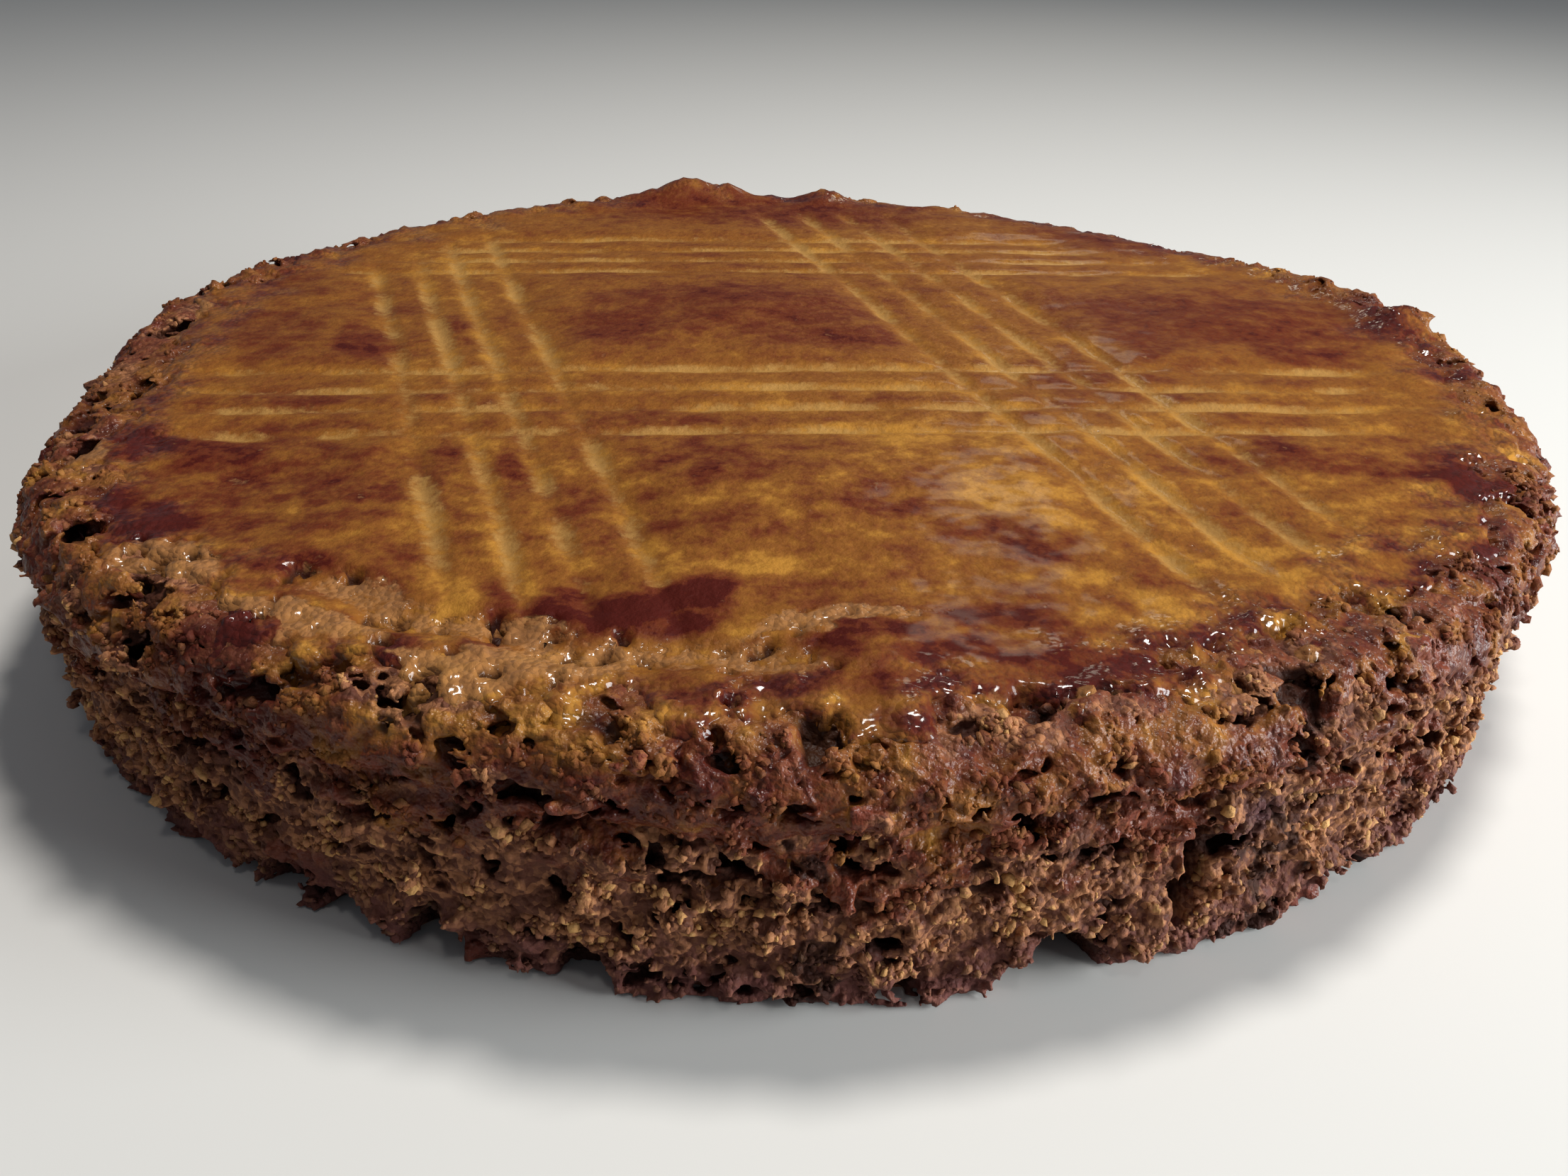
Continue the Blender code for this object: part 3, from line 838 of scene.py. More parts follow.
def crumb_tree(material):
    """Grows a bar of crumb, from its density to the skin of that, and bends it round the cake."""
    settings = {"Bearing": 0.0, "Width": 45.0, "Voxel": 1.0}
    tree, entry, exit_node = group_tree("crumb of the side", settings)
    bearing, width, voxel = (Flow(entry.outputs[name]) for name in settings)
    along, out, up = (part / MM for part in position_parts(tree))
    turn = bearing * DEGREE - along / RIM_RADIUS
    place = Place(joined(out * reckon("COSINE", turn), out * reckon("SINE", turn), up))
    skin, form, tip, past = crumb_skin(place)
    half = width * (DEGREE * RIM_RADIUS / 2) + BAR_OVERLAP
    solid = largest((skin, abs(along) - half, INNER_WALL - out, CRUMB_BOTTOM - up))
    volume = new_node(tree, "GeometryNodeVolumeCube")
    feed(volume.inputs["Density"], reckon("SUBTRACT", 0.5, solid / (2 * SKIN_BLUR), clamp=True))
    reach = half + BOX_MARGIN
    feed(volume.inputs["Min"], joined(reach * -MM, (INNER_WALL - BOX_MARGIN) * MM, -BOX_MARGIN * MM))
    feed(volume.inputs["Max"], joined(reach * MM, OUTER_WALL * MM, TALLEST * MM))
    feed(volume.inputs["Resolution X"], 2.0 * reach / voxel)
    feed(volume.inputs["Resolution Y"], (OUTER_WALL - INNER_WALL + BOX_MARGIN) / voxel)
    feed(volume.inputs["Resolution Z"], (TALLEST + BOX_MARGIN) / voxel)
    mesh = new_node(tree, "GeometryNodeVolumeToMesh")
    feed(mesh.inputs["Volume"], volume.outputs[0])
    mesh.inputs["Threshold"].default_value = 0.5
    mesh.inputs["Adaptivity"].default_value = FLAT_ENOUGH
    island = new_node(tree, "GeometryNodeInputMeshIsland")
    count = new_node(tree, "GeometryNodeAccumulateField", domain="FACE", data_type="INT")
    count.inputs["Value"].default_value = 1
    feed(count.inputs["Group ID"], island.outputs["Island Index"])
    drop = new_node(tree, "GeometryNodeDeleteGeometry", domain="FACE")
    feed(drop.inputs["Geometry"], mesh.outputs[0])
    small = reckon("LESS_THAN", Flow(count.outputs["Total"]), float(SMALLEST_ISLAND))
    feed(drop.inputs["Selection"], small)
    geometry = keep_number(tree, drop.outputs[0], "proud", form)
    # Painted shade for the pits, the crevice and the broken-out notches, kept as the pit's depth
    painted_shade = largest((pit_depth(place), crevice(place) * CREVICE_SHADE, foot_chips(place) * CHIPS_SHADE))
    for label, value in (
        ("tip", tip),
        ("past_glaze", past),
        ("crusted", crusted(place, past)),
        ("browned", browning(place)),
        ("golden", golden_glaze(place)),
        ("torn", bare(place)),
        ("pit", painted_shade),
    ):
        geometry = keep_number(tree, geometry, label, value)
    bend = new_node(tree, "GeometryNodeSetPosition")
    feed(bend.inputs["Geometry"], geometry)
    feed(bend.inputs["Position"], joined((place.x - MIDDLE[0]) * MM, (place.y - MIDDLE[1]) * MM, up * MM))
    finish_tree(tree, exit_node, bend.outputs[0], material)
    return tree


def clinging_tree(material):
    """Scatters single crumbs over the outer skin of the crumb."""
    settings = {"Density": 1.0e6, "Seed": 1.0}
    tree, entry, exit_node = group_tree("clinging crumbs", settings)
    outer = reckon("GREATER_THAN", kept_number(tree, "proud"), CLINGING_DEEPEST)
    beyond = reckon("GREATER_THAN", kept_number(tree, "past_glaze"), CLINGING_PAST_GLAZE)
    position = new_node(tree, "GeometryNodeInputPosition")
    spot = Place.of(tree, position.outputs[0])
    crowded = ramp(uneven(spot, CROWD_SIZE, 52, detail=1.0), *CROWDED)
    off_floor = reckon("GREATER_THAN", spot.z, CLINGING_LOWEST)
    scatter = new_node(tree, "GeometryNodeDistributePointsOnFaces", distribute_method="RANDOM")
    feed(scatter.inputs["Mesh"], entry.outputs["Geometry"])
    feed(scatter.inputs["Selection"], outer * beyond * off_floor)
    feed(scatter.inputs["Density"], crowded * Flow(entry.outputs["Density"]))
    feed(scatter.inputs["Seed"], entry.outputs["Seed"])
    kept_own = new_node(tree, "FunctionNodeRandomValue", data_type="FLOAT")
    feed(kept_own.inputs["Seed"], entry.outputs["Seed"])
    points = keep_number(tree, scatter.outputs["Points"], "grain", Flow(kept_own.outputs[1]))
    crumb = new_node(tree, "GeometryNodeMeshIcoSphere")
    crumb.inputs["Radius"].default_value = MM
    crumb.inputs["Subdivisions"].default_value = 1
    knock = new_node(tree, "FunctionNodeRandomValue", data_type="FLOAT_VECTOR")
    knock.inputs[0].default_value = (-CLINGING_CHIPPED * MM,) * 3
    knock.inputs[1].default_value = (CLINGING_CHIPPED * MM,) * 3
    chipped = new_node(tree, "GeometryNodeSetPosition")
    feed(chipped.inputs["Geometry"], crumb.outputs["Mesh"])
    feed(chipped.inputs["Offset"], knock.outputs[0])
    spin = new_node(tree, "FunctionNodeRandomValue", data_type="FLOAT_VECTOR")
    spin.inputs[1].default_value = (math.tau,) * 3
    lot = new_node(tree, "FunctionNodeRandomValue", data_type="FLOAT")
    lot.inputs["Seed"].default_value = 7
    few = reckon("POWER", Flow(lot.outputs[1]), CLINGING_FEW_LARGE)
    size = CLINGING_SMALLEST + few * (CLINGING_LARGEST - CLINGING_SMALLEST)
    odd = new_node(tree, "FunctionNodeRandomValue", data_type="FLOAT_VECTOR")
    odd.inputs[0].default_value = (CLINGING_FLATTEST,) * 3
    odd.inputs[1].default_value = (CLINGING_LONGEST,) * 3
    odd.inputs["Seed"].default_value = 11
    scale = new_node(tree, "ShaderNodeVectorMath", operation="SCALE")
    feed(scale.inputs[0], odd.outputs[0])
    feed(scale.inputs["Scale"], size)
    place_all = new_node(tree, "GeometryNodeInstanceOnPoints")
    feed(place_all.inputs["Points"], points)
    feed(place_all.inputs["Instance"], chipped.outputs[0])
    feed(place_all.inputs["Rotation"], spin.outputs[0])
    feed(place_all.inputs["Scale"], scale.outputs[0])
    finish_tree(tree, exit_node, place_all.outputs[0], material)
    return tree


def crumb_pieces(crumb_material, grain_material):
    """The crumb of the side, in bars bent round the cake, and the single crumbs on it."""
    tree = crumb_tree(crumb_material)
    clinging = clinging_tree(grain_material)
    pieces = []
    for number, (name, bearing, width, voxel, crowd) in enumerate(BARS):
        bar = grow("crumb_" + name, tree, {"Bearing": bearing, "Width": width, "Voxel": voxel})
        settings = {"Density": crowd / (MM * MM), "Seed": float(number)}
        pieces += [bar, grow("crumbs_on_" + name, clinging, settings, bar.data.copy())]
    return pieces


@formula
def browning(place):
    """How far a place of the top has browned."""
    return patches(place, BROWNED)


@formula
def golden_glaze(place):
    """How far it has stayed golden."""
    return patches(place, GOLDEN)


@formula
def bare(place):
    """How torn the glaze is: the ring, and the listed places."""
    return most(crack(place), patches(place, BARE))


def patches(place, listed):
    """How strongly listed patches cover a place, with ragged outlines."""
    east = place.x + uneven(place, PATCH_RAGGED_SIZE, 44, detail=2.0) * PATCH_RAGGED_DEPTH
    north = place.y + uneven(place, PATCH_RAGGED_SIZE, 45, detail=2.0) * PATCH_RAGGED_DEPTH
    answer = None
    for x, y, length, width, turn, strength in listed:
        c, s = math.cos(turn * DEGREE), math.sin(turn * DEGREE)
        along = ((east - x) * c + (north - y) * s) / length
        across = ((north - y) * c - (east - x) * s) / width
        one = strength * ramp(across_both(along, across), *PATCH_EDGE, 1.0, 0.0)
        answer = one if answer is None else most(answer, one)
    return answer


def glaze_tree(material):
    """Drapes a fine sheet over the top and over the rounded rim, with the fork's marks."""
    settings = {"Columns": float(CRUST_COLUMNS), "Rows": float(CRUST_ROWS)}
    tree, entry, exit_node = group_tree("glazed crust", settings)
    grid = new_node(tree, "GeometryNodeMeshGrid")
    feed(grid.inputs["Vertices X"], entry.outputs["Columns"])
    feed(grid.inputs["Vertices Y"], entry.outputs["Rows"])
    grid.inputs["Size X"].default_value = 2.0
    grid.inputs["Size Y"].default_value = 1.0
    sideways, backwards, _ = position_parts(tree)
    widening = reckon("POWER", 1.0 + CRUST_WIDENING, backwards + 0.5)
    far = (widening - 1.0) / CRUST_WIDENING * (2 * CRUST_REACH) - CRUST_REACH
    flat = Place(joined(sideways * widening * CRUST_FRONT_WIDTH, far, 0.0))
    run = flat.radius
    turned = reckon("MINIMUM", most(run - FLAT_EDGE, 0.0) / EDGE_ROUND, math.pi / 2)
    sine, cosine = reckon("SINE", turned), reckon("COSINE", turned)
    down = most(run - FLAT_EDGE - CORNER_RUN, 0.0)
    narrowing = (RIM_RADIUS - BASE_RADIUS) / CORNER_HEIGHT
    radius = least(run, FLAT_EDGE) + EDGE_ROUND * sine - down * narrowing
    inner = least(run, FLAT_EDGE) / FLAT_EDGE
    height = HEIGHT + TOP_DOME * (1.0 - inner * inner) - EDGE_ROUND * (1.0 - cosine) - down
    away_x, away_y = flat.x / most(run, 0.01), flat.y / most(run, 0.01)
    place = Place(joined(away_x * radius, away_y * radius, height))
    whole = glazed(place, run)
    past = run - glaze_end(place)
    root = ramp(past, GLAZE_EDGE_BLUR, GLAZE_ROOT_RUN)
    left = grooves_left(place) * ramp(run, *LINES_END, 1.0, 0.0)
    swing = uneven(place, MARK_SWING_SIZE, 42, detail=1.0)
    marks = groove(place) * left * (MARK_MEAN + MARK_SWING * swing)
    torn = bare(place)
    near_front = ramp(place.y, *NEAR_FRONT, WRINKLES_AT_FRONT, 0.0)
    wrinkled = WRINKLES_INSIDE + WRINKLES_AT_RIM * ramp(run, *NEAR_RIM) + near_front
    wrinkles = uneven(place, WRINKLE_SIZE, 41, detail=1.0) * wrinkled
    wrinkles = wrinkles + uneven(place, WAVE_SIZE, 1) * WAVE_DEPTH
    pores = ramp(uneven(place, PORE_SIZE, 43, detail=1.5), *PORE_EDGE) * ramp(torn, *PORES_WHERE_TORN)
    shallow = band(place) * left * BAND_SINK
    relief = rim_relief(place) - marks * MARK_DEPTH - shallow + wrinkles - pores * PORE_DEPTH
    upward = ramp(cosine, *TOP_TURNS)
    rough, _ = roughness(place, past)
    side = (1.0 - upward) * side_form(place) - clumps(place) * most(rough, torn * RING_CLUMPS)
    side = side - crumbs(place) * most(rough, torn * RING_CRUMBS)
    lift = mixed(whole, -GLAZE_EDGE_SINK, GLAZE_LIFT) - GLAZE_ROOT_SINK * root
    outward = radius + out_of_round(place) + sine * (side + lift)
    up = height + upward * relief + cosine * (side + lift)
    moved = joined((away_x * outward - MIDDLE[0]) * MM, (away_y * outward - MIDDLE[1]) * MM, up * MM)
    beyond = reckon("GREATER_THAN", run - glaze_reach(place), GLAZE_CUT)
    geometry = grid.outputs["Mesh"]
    for name, value in (
        ("pale_line", pale_line(place) * left * (PALE_MEAN + PALE_SWING * swing)),
        ("seared", ramp(browning(place), *SEARED)),
        ("torn", torn),
        ("pore", pores),
        ("browned", browning(place)),
        ("golden", golden_glaze(place)),
        ("past_glaze", past),
        ("pit", pit_depth(place)),
        ("beyond", beyond),
    ):
        geometry = keep_number(tree, geometry, name, value)
    shape = new_node(tree, "GeometryNodeSetPosition")
    feed(shape.inputs["Geometry"], geometry)
    feed(shape.inputs["Position"], moved)
    cut = new_node(tree, "GeometryNodeDeleteGeometry", domain="POINT")
    feed(cut.inputs["Geometry"], shape.outputs[0])
    feed(cut.inputs["Selection"], kept_number(tree, "beyond"))
    finish_tree(tree, exit_node, cut.outputs[0], material)
    return tree


def close_below(piece):
    """Makes an open sheet a closed body, with one face across its lower side."""
    bm = bmesh.new()
    bm.from_mesh(piece.data)
    keep_largest_island(bm)
    edges = [edge for edge in bm.edges if edge.is_boundary]
    bmesh.ops.holes_fill(bm, edges=edges, sides=0)
    bmesh.ops.recalc_face_normals(bm, faces=bm.faces)
    bm.to_mesh(piece.data)
    bm.free()


def keep_largest_island(bm):
    """Drops everything that isn't joined to the largest piece of the mesh."""
    left = set(bm.faces)
    islands = []
    while left:
        start = left.pop()
        island, border = {start}, [start]
        while border:
            face = border.pop()
            for edge in face.edges:
                for other in edge.link_faces:
                    if other in left:
                        left.discard(other)
                        island.add(other)
                        border.append(other)
        islands.append(island)
    largest_island = max(islands, key=len)
    dropped = [face for face in bm.faces if face not in largest_island]
    bmesh.ops.delete(bm, geom=dropped, context="FACES")


def glazed_crust(material):
    """The glazed crust, as a closed body."""
    share = 1.0
    settings = {"Columns": CRUST_COLUMNS * share, "Rows": CRUST_ROWS * share}
    piece = grow("glazed_crust", glaze_tree(material), settings)
    close_below(piece)
    return piece


def base_tree(material):
    """The baked underside: a thin disc with an uneven outline that keeps out of the broken-out notches."""
    tree, entry, exit_node = group_tree("baked base", {"Thickness": BASE_THICKNESS * MM})
    disc = new_node(tree, "GeometryNodeMeshCylinder", fill_type="TRIANGLE_FAN")
    disc.inputs["Vertices"].default_value = BASE_SPOKES
    disc.inputs["Fill Segments"].default_value = BASE_RINGS
    disc.inputs["Radius"].default_value = (BASE_RADIUS - BASE_INSET) * MM
    feed(disc.inputs["Depth"], entry.outputs["Thickness"])
    x, y, z = position_parts(tree)
    lifted = z + Flow(entry.outputs["Thickness"]) / 2.0
    flat = Place(joined(x / MM, y / MM, 0.0))
    ragged = uneven(flat, BASE_RAGGED_SIZE, 51, detail=2.0) * BASE_RAGGED_DEPTH
    drawn = (foot_chips(flat) * BASE_CLEARS_CHIPS - ragged) / BASE_RADIUS
    share = 1.0 - drawn * ramp(flat.radius, *BASE_DRAWN)
    moved = joined((flat.x * share - MIDDLE[0]) * MM, (flat.y * share - MIDDLE[1]) * MM, lifted)
    shape = new_node(tree, "GeometryNodeSetPosition")
    feed(shape.inputs["Geometry"], disc.outputs["Mesh"])
    feed(shape.inputs["Position"], moved)
    finish_tree(tree, exit_node, shape.outputs[0], material, smooth=False)
    return tree


def as_light(shade):
    """A shade as a screen shows it, from 0 to 255, turned into light."""
    return shade / 255 / 12.92 if shade <= 10 else ((shade / 255 + 0.055) / 1.055) ** 2.4


def srgb(red, green, blue):
    """A colour as a screen shows it, turned into light."""
    return (as_light(red), as_light(green), as_light(blue), 1.0)


def blend(tree, share, first, second):
    """A colour between two others."""
    node = new_node(tree, "ShaderNodeMix", data_type="RGBA", clamp_factor=True)
    feed(node.inputs["Factor"], share)
    feed(node.inputs[6], first)
    feed(node.inputs[7], second)
    return node.outputs[2]


def finish(name):
    """A new material, its tree, its shader and the place of the shaded point."""
    material = bpy.data.materials.new(name)
    material.use_nodes = True
    tree = material.node_tree
    shader = tree.nodes["Principled BSDF"]
    coordinates = new_node(tree, "ShaderNodeTexCoord")
    return material, tree, shader, Place.of(tree, coordinates.outputs["Object"])


def kept(tree, name):
    """A number that a Geometry Nodes tree kept on the mesh."""
    node = new_node(tree, "ShaderNodeAttribute", attribute_name=name)
    return Flow(node.outputs["Fac"])


def bump(tree, height, *sockets):
    """Relief too fine for the mesh, with its height in millimetres."""
    node = new_node(tree, "ShaderNodeBump")
    node.inputs["Strength"].default_value = 1.0
    node.inputs["Distance"].default_value = MM
    feed(node.inputs["Height"], height)
    for socket in sockets:
        feed(socket, node.outputs[0])


GOLD = srgb(160, 110, 42)
AMBER = srgb(120, 72, 28)
BROWN = srgb(105, 56, 25)
RED_BROWN = srgb(90, 38, 19)
DEEP_RED = srgb(68, 19, 12)
CREAM = srgb(160, 120, 64)
PALE_DOUGH = srgb(152, 105, 60)
DOUGH = srgb(160, 108, 74)
# Dark dough for random blotches, and painted shade in the crumb's creases
DARK_DOUGH_AND_CREASE_SHADE = srgb(88, 52, 39)
# Painted shade: the darker, bluer dough towards the foot of the side
MAUVE_FOOT_SHADE = srgb(98, 58, 54)
# Golden crumbs, and a painted highlight on the crumb's tips
GOLDEN_GRAIN_AND_TIP_HIGHLIGHT = srgb(204, 156, 96)
CARAMEL = srgb(98, 42, 27)
# Painted shade in pits, pores, hollows, the crevice and the notches
PIT_SHADE_BROWN = srgb(44, 22, 16)
PLUM = srgb(72, 44, 46)
BASE_BROWN = srgb(134, 88, 50)
FLOOR_GREY = srgb(206, 204, 200)

# Heat of the glaze at which it starts to turn darker, and has turned, and what it turns to
BROWNING_STEPS = (
    (-0.9, 0.15, AMBER),
    (0.1, 0.55, BROWN),
    (0.45, 0.9, RED_BROWN),
    (0.9, 1.2, DEEP_RED),
)
BROWNING_START = 0.17       # heat where no patch is listed
BROWNED_HEAT, GOLDEN_HEAT = 0.7, -0.65
HARSH_BROWNING = 0.6
BRUSHED_SIZE, CLOUD_SIZE, SPECK_SIZE = 9.0, 4.0, 1.2
BRUSHED_HEAT, CLOUD_HEAT, SPECK_HEAT = 1.3, 1.8, 0.9
BRUSH_STRETCH = (0.6, 1.0, 1.0)
FRONT_OF_TOP = (0.0, -60.0)
CONTRAST_BEHIND, CONTRAST_MORE_IN_FRONT = 1.1, 0.7

# The glaze. A pair is where a colour sets in and is whole, and a share is how much of it is laid on.
EDGE_OF_GLAZE = (-12.0, -1.0)       # distance past its end
EDGE_HEAT, EDGE_CONTRAST = 0.2, 0.8
LINE_HEAT = -0.45
LINE_PALES, LINE_SHARE, LINE_MOTTLE = (0.4, 1.1), 0.8, 1.2
TORN_BAKED, TORN_BAKED_SHARE = (0.9, 1.5), 0.9      # browning over which torn places have baked brown too
TORN_PALES, TORN_SHARE = (0.45, 0.95), 0.75
TORN_SPECKS, TORN_CLOUDS = 1.4, 2.4
# Painted shade in the torn ring's pores and in the pits of the glaze
PORE_DARKENS, PIT_DARKENS, PIT_SHADE_SHARE = (0.2, 0.8), (0.5, 1.8), 0.85
GLAZE_ROUGHNESS, GLAZE_SPECKLED, GLAZE_TORN_ROUGHER = 0.5, 0.2, 0.25
GLAZE_COAT, GLAZE_TORN_COAT = 0.1, 0.55
GLAZE_GRAIN_SIZE, GLAZE_GRAIN, GLAZE_TORN_GRAIN = 0.8, 0.04, 0.26
GLAZE_SPECK_RELIEF = 0.25
RIPPLE_SIZE, RIPPLE_DEPTH = 5.0, 0.25
TORN_RIPPLE_SIZE, TORN_RIPPLE_DEPTH = 1.5, 0.6

# The crumb, in the same terms
MOTTLE_SIZE, BLOTCH_SIZE, CARAMEL_SIZE = 5.0, 11.0, 9.0
# Painted shade in the crumb's creases and a painted highlight on its tips, partly its golden grains
CREASE_SHADE, CREASE_MOTTLE = (-0.6, 0.6), 2.0
TIPS, TIP_SHARE, TIP_MOTTLE = (0.5, 1.4), 0.9, 1.8
BLOTCHES, BLOTCH_SHARE = (0.02, 0.16), 0.4
# Painted shade, darker and bluer, from this height down to the foot
FOOT_SHADE_HEIGHTS, FOOT_SHADE_SHARE, FOOT_SHADE_MOTTLE = (10.0, 2.0), 0.8, 14.0
CRUST_HEIGHTS, CRUST_HEATS = (31.0, 26.0), (0.1, 0.7)
CRUST_CONTRAST = 1.5
BARE_CLOUDS, BARE_HERE, BARE_SHARE = 1.5, (0.2, 0.7), 0.85
CRUSTED_SPECKS, CRUSTED_EDGE, CRUSTED_SHARE = 0.8, (0.35, 0.65), 0.85
CARAMEL_HEIGHTS, CARAMEL_MORE_ABOVE = (8.0, 24.0), 0.16
CARAMEL_PATCHES, CARAMEL_SHARE = (0.12, 0.2), 0.8
PLUM_EDGE, PLUM_SHARE, PLUM_MOTTLE = (2.0, 5.0), 0.85, 5.0
SAND_SIZE = 0.62
# Painted shade in the crumb's hollows and pits
HOLLOWS_DARKEN, CRUMB_PIT_DARKENS, HOLLOW_SHADE_SHARE = (-0.5, -2.2), (0.3, 1.3), 0.9
# Painted shade on single crumbs that lie in pits
SINGLE_PIT_DARKENS, SINGLE_PIT_SHADE_SHARE = (0.2, 1.0), 0.92


def crust_colour(tree, place, browned, contrast):
    """The glaze's colour, gold where it has hardly browned, and the specks and clouds in it."""
    brushed = uneven(place, BRUSHED_SIZE, 61, detail=5.0, stretch=BRUSH_STRETCH, harsh=HARSH_BROWNING)
    clouds = uneven(place, CLOUD_SIZE, 62, detail=4.0, harsh=HARSH_BROWNING)
    specks = uneven(place, SPECK_SIZE, 63, detail=3.0, harsh=HARSH_BROWNING)
    sharper = CONTRAST_BEHIND + CONTRAST_MORE_IN_FRONT * ramp(place.y, *FRONT_OF_TOP)
    heat = browned + (brushed * BRUSHED_HEAT + clouds * CLOUD_HEAT) * contrast * sharper
    heat = heat + specks * SPECK_HEAT
    colour = GOLD
    for start, end, darker in BROWNING_STEPS:
        colour = blend(tree, ramp(heat, start, end), colour, darker)
    return colour, specks, clouds


def kept_browning(tree):
    """How brown the glaze has baked, from what the mesh keeps."""
    browned = BROWNING_START + kept(tree, "browned") * BROWNED_HEAT
    return browned + kept(tree, "golden") * GOLDEN_HEAT


def glaze_finish():
    """Baked egg glaze: gold to deep red-brown, pale in the fork's marks, glossy and a little blistered,
    with painted shade in its pores and pits.
    """
    material, tree, shader, place = finish("egg_glaze")
    edge = ramp(kept(tree, "past_glaze"), *EDGE_OF_GLAZE)
    line = kept(tree, "pale_line") * (1.0 - kept(tree, "seared"))
    browned = kept_browning(tree) + line * LINE_HEAT + edge * EDGE_HEAT
    colour, specks, clouds = crust_colour(tree, place, browned, 1.0 + edge * EDGE_CONTRAST)
    pale = ramp(line + specks * LINE_MOTTLE + clouds * LINE_MOTTLE, *LINE_PALES)
    colour = blend(tree, pale * LINE_SHARE, colour, CREAM)
    torn = kept(tree, "torn") - ramp(kept(tree, "browned"), *TORN_BAKED) * TORN_BAKED_SHARE
    torn = ramp(torn + specks * TORN_SPECKS + clouds * TORN_CLOUDS, *TORN_PALES)
    colour = blend(tree, torn * TORN_SHARE, colour, PALE_DOUGH)
    # Painted shade in pores and pits
    pit_shade = most(ramp(kept(tree, "pore"), *PORE_DARKENS), ramp(kept(tree, "pit"), *PIT_DARKENS))
    colour = blend(tree, pit_shade * PIT_SHADE_SHARE, colour, PIT_SHADE_BROWN)
    feed(shader.inputs["Base Color"], colour)
    shader.inputs["Specular IOR Level"].default_value = 0.04
    feed(shader.inputs["Roughness"], GLAZE_ROUGHNESS + specks * GLAZE_SPECKLED + torn * GLAZE_TORN_ROUGHER)
    rough = most(torn, edge)
    feed(shader.inputs["Coat Weight"], (GLAZE_COAT + rough * GLAZE_TORN_COAT) * (1.0 - pit_shade))
    shader.inputs["Coat Roughness"].default_value = 0.13
    grain, _ = grains(place, GLAZE_GRAIN_SIZE, 64)
    grain = grain * (GLAZE_GRAIN + GLAZE_TORN_GRAIN * rough)
    bump(tree, specks * GLAZE_SPECK_RELIEF - grain, shader.inputs["Normal"])
    ripples = uneven(place, RIPPLE_SIZE, 65, detail=1.0) * RIPPLE_DEPTH
    torn_ripples = uneven(place, TORN_RIPPLE_SIZE, 66, detail=1.0) * rough * TORN_RIPPLE_DEPTH
    bump(tree, ripples + torn_ripples, shader.inputs["Coat Normal"])
    return material


def dough_colour(tree, place, tip, fine):
    """The crumb's colour and its gloss: tan, with painted shade in creases and towards the foot, golden on
    its tips partly as a painted highlight, in places caramel, glazed near the top.
    """
    mottle = uneven(place, MOTTLE_SIZE, 71, detail=4.0, harsh=0.6)
    # Painted shade in the creases, then a painted highlight on the tips that partly stands for golden
    # grains
    colour = blend(tree, ramp(tip + mottle * CREASE_MOTTLE, *CREASE_SHADE), DARK_DOUGH_AND_CREASE_SHADE, DOUGH)
    colour = blend(tree, ramp(tip + mottle * TIP_MOTTLE, *TIPS) * TIP_SHARE, colour, GOLDEN_GRAIN_AND_TIP_HIGHLIGHT)
    blotch = uneven(place, BLOTCH_SIZE, 77, detail=3.0) + fine * 0.1
    colour = blend(tree, ramp(blotch, *BLOTCHES) * BLOTCH_SHARE, colour, DARK_DOUGH_AND_CREASE_SHADE)
    # Painted shade: darker, bluer dough towards the foot
    foot_shade = ramp(place.z + mottle * FOOT_SHADE_MOTTLE, *FOOT_SHADE_HEIGHTS)
    colour = blend(tree, foot_shade * FOOT_SHADE_SHARE, colour, MAUVE_FOOT_SHADE)
    heat = kept_browning(tree) + ramp(place.z, *CRUST_HEIGHTS, *CRUST_HEATS)
    glaze, _, clouds = crust_colour(tree, place, heat, CRUST_CONTRAST)
    bare_here = ramp(kept(tree, "torn") + clouds * BARE_CLOUDS, *BARE_HERE)
    skin = ramp(kept(tree, "crusted") + fine * CRUSTED_SPECKS, *CRUSTED_EDGE)
    skin = skin * (1.0 - bare_here * BARE_SHARE)
    caramel = uneven(place, CARAMEL_SIZE, 73, detail=2.0, stretch=(0.7, 0.7, 1.2)) + fine * 0.12
    caramel = caramel + ramp(place.z, *CARAMEL_HEIGHTS) * CARAMEL_MORE_ABOVE
    caramel = ramp(caramel, *CARAMEL_PATCHES) * (1.0 - skin)
    colour = blend(tree, caramel * CARAMEL_SHARE, colour, CARAMEL)
    colour = blend(tree, skin * CRUSTED_SHARE, colour, glaze)
    to_plum = across_both(along_side(place, PLUM_BEARING), place.z - PLUM_HEIGHT)
    plum = ramp(to_plum + mottle * PLUM_MOTTLE, *PLUM_EDGE, PLUM_SHARE, 0.0)
    return blend(tree, plum, colour, PLUM), most(skin, caramel)


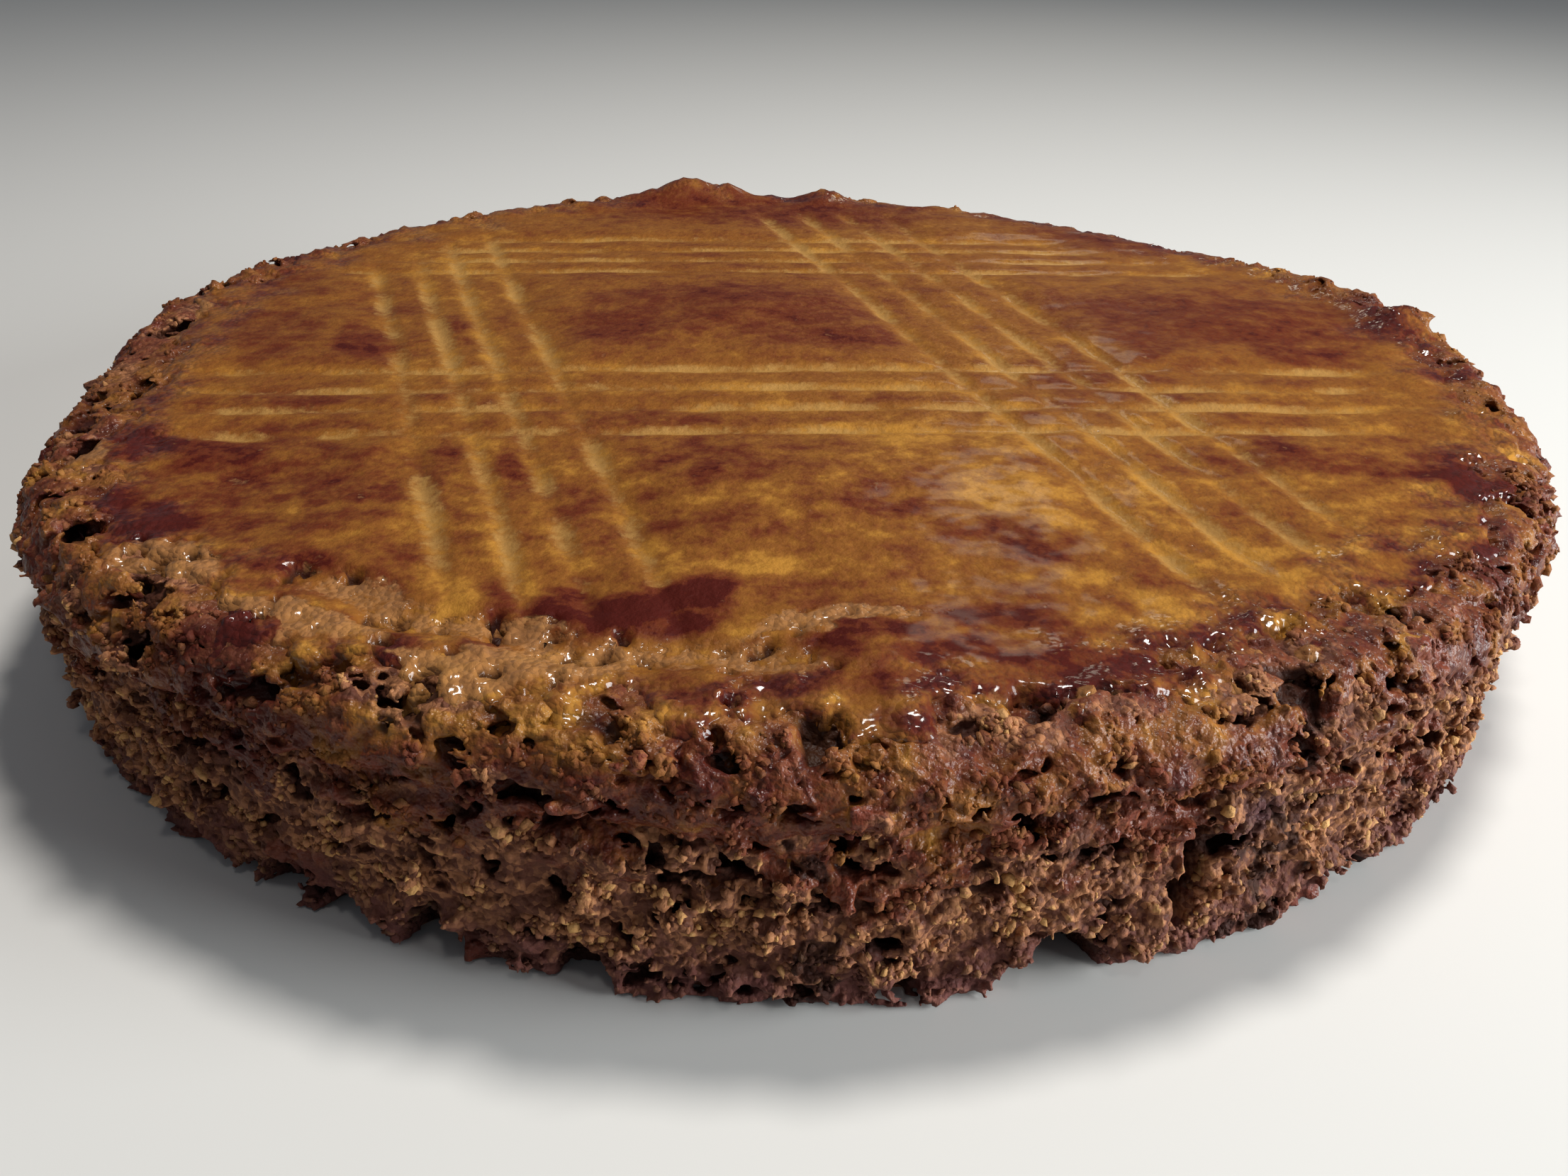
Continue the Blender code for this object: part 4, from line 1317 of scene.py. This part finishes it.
def crumb_finish():
    """Dry butter crumb, with glossy glaze on it towards the top, and painted shade in its hollows, pits,
    crevice and notches.
    """
    material, tree, shader, place = finish("butter_crumb")
    fine = uneven(place, 0.8, 72, detail=2.0)
    sand, own = grains(place, SAND_SIZE, 74)
    # How far the crumb stands out, with random grains, which sets its painted shade and highlight
    tip = kept(tree, "tip") * 1.1 + fine * 1.0 + (own - 0.5) * 1.1
    colour, gloss = dough_colour(tree, place, tip, fine)
    # Painted shade in hollows, pits, the crevice and the notches
    pit_shade = ramp(kept(tree, "proud"), *HOLLOWS_DARKEN)
    pit_shade = most(pit_shade, ramp(kept(tree, "pit"), *CRUMB_PIT_DARKENS))
    feed(shader.inputs["Base Color"], blend(tree, pit_shade * HOLLOW_SHADE_SHARE, colour, PIT_SHADE_BROWN))
    shader.inputs["Specular IOR Level"].default_value = 0.1
    feed(shader.inputs["Roughness"], 0.7 - gloss * 0.25)
    feed(shader.inputs["Coat Weight"], (0.03 + gloss * 0.15) * (1.0 - pit_shade))
    shader.inputs["Coat Roughness"].default_value = 0.2
    grit = uneven(place, 0.45, 76, detail=2.0) * 0.12
    height = fine * 0.3 + grit - sand * 0.25 * (1.0 - gloss * 0.4)
    bump(tree, height, shader.inputs["Normal"], shader.inputs["Coat Normal"])
    return material


def grain_finish():
    """Single crumbs of baked butter dough, in the colour of the crumb that they cling to, with painted
    shade where they lie in pits.
    """
    material, tree, shader, place = finish("butter_crumb_grains")
    fine = uneven(place, 0.4, 75, detail=2.0)
    colour, _ = dough_colour(tree, place, kept(tree, "grain") * 1.5 - 0.3 + fine, fine)
    # Painted shade where a single crumb lies in a pit
    sunk_shade = ramp(kept(tree, "pit"), *SINGLE_PIT_DARKENS) * SINGLE_PIT_SHADE_SHARE
    feed(shader.inputs["Base Color"], blend(tree, sunk_shade, colour, PIT_SHADE_BROWN))
    shader.inputs["Specular IOR Level"].default_value = 0.1
    shader.inputs["Roughness"].default_value = 0.6
    bump(tree, fine * 0.2, shader.inputs["Normal"])
    return material


def base_finish():
    """The dry, evenly browned underside."""
    material, tree, shader, place = finish("baked_underside")
    mottle = uneven(place, 14.0, 81, detail=5.0)
    fine = uneven(place, 1.4, 82, detail=3.0)
    colour = blend(tree, ramp(mottle + fine * 0.5, -0.3, 0.3), CARAMEL, BASE_BROWN)
    feed(shader.inputs["Base Color"], colour)
    feed(shader.inputs["Roughness"], 0.62 + fine * 0.2)
    bump(tree, fine * 0.4, shader.inputs["Normal"])
    return material


def show(piece):
    """Ties a piece to the cake's solid, which it stands for."""
    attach(piece, BODY)
    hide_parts(NODE)


def put_floor():
    """A plain pale floor."""
    bpy.ops.mesh.primitive_plane_add(size=FLOOR_METRES)
    floor = bpy.context.object
    floor.name = "floor"
    material, _, shader, _ = finish("pale_floor")
    shader.inputs["Base Color"].default_value = FLOOR_GREY
    shader.inputs["Roughness"].default_value = 0.8
    floor.data.materials.append(material)


def soft_light(name, spot, size, power, colour):
    """A soft studio lamp that looks at the cake."""
    data = bpy.data.lights.new(name, "AREA")
    data.shape = "DISK"
    data.size = size * MM
    data.energy = power
    data.color = colour
    lamp = bpy.data.objects.new(name, data)
    lamp.location = Vector(spot) * MM
    lamp.rotation_mode = "QUATERNION"
    lamp.rotation_quaternion = (Vector((0.0, 0.0, HEIGHT)) * MM - lamp.location).to_track_quat("-Z", "Y")
    bpy.context.scene.collection.objects.link(lamp)


def put_lights():
    """A dim, even room and the lamps."""
    world = bpy.data.worlds.new("soft room")
    bpy.context.scene.world = world
    world.use_nodes = True
    sky = world.node_tree.nodes["Background"]
    sky.inputs["Color"].default_value = ROOM_COLOUR
    sky.inputs["Strength"].default_value = ROOM_STRENGTH
    for lamp in LAMPS:
        soft_light(*lamp)
    bpy.context.scene.view_settings.view_transform = "Standard"


def put_camera():
    """The camera, at the viewing angle that was worked out from the cake's rim and foot."""
    spot = Vector((0.0, -math.cos(CAMERA_ELEVATION), math.sin(CAMERA_ELEVATION))) * CAMERA_DISTANCE
    forward = -spot.normalized()
    right = forward.cross(Vector((0.0, 0.0, 1.0))).normalized()
    aim = Matrix((right, right.cross(forward), -forward))
    turns = Matrix.Rotation(CAMERA_ROLL, 3, "Z") @ Matrix.Rotation(CAMERA_PITCH, 3, "X")
    aim = turns @ Matrix.Rotation(CAMERA_YAW, 3, "Y") @ aim
    data = bpy.data.cameras.new("camera")
    data.sensor_width = SENSOR_WIDTH
    data.lens = CAMERA_LENS
    data.clip_start = 0.01
    camera = bpy.data.objects.new("camera", data)
    place = (spot - Vector((*MIDDLE, 0.0))) * MM
    camera.matrix_world = Matrix.Translation(place) @ aim.transposed().to_4x4()
    bpy.context.scene.collection.objects.link(camera)
    bpy.context.scene.camera = camera


def main():
    put_camera()
    put_lights()
    put_floor()
    show(glazed_crust(glaze_finish()))
    for piece in crumb_pieces(crumb_finish(), grain_finish()):
        show(piece)
    show(grow("baked_base", base_tree(base_finish()), {"Thickness": BASE_THICKNESS * MM}))


main()
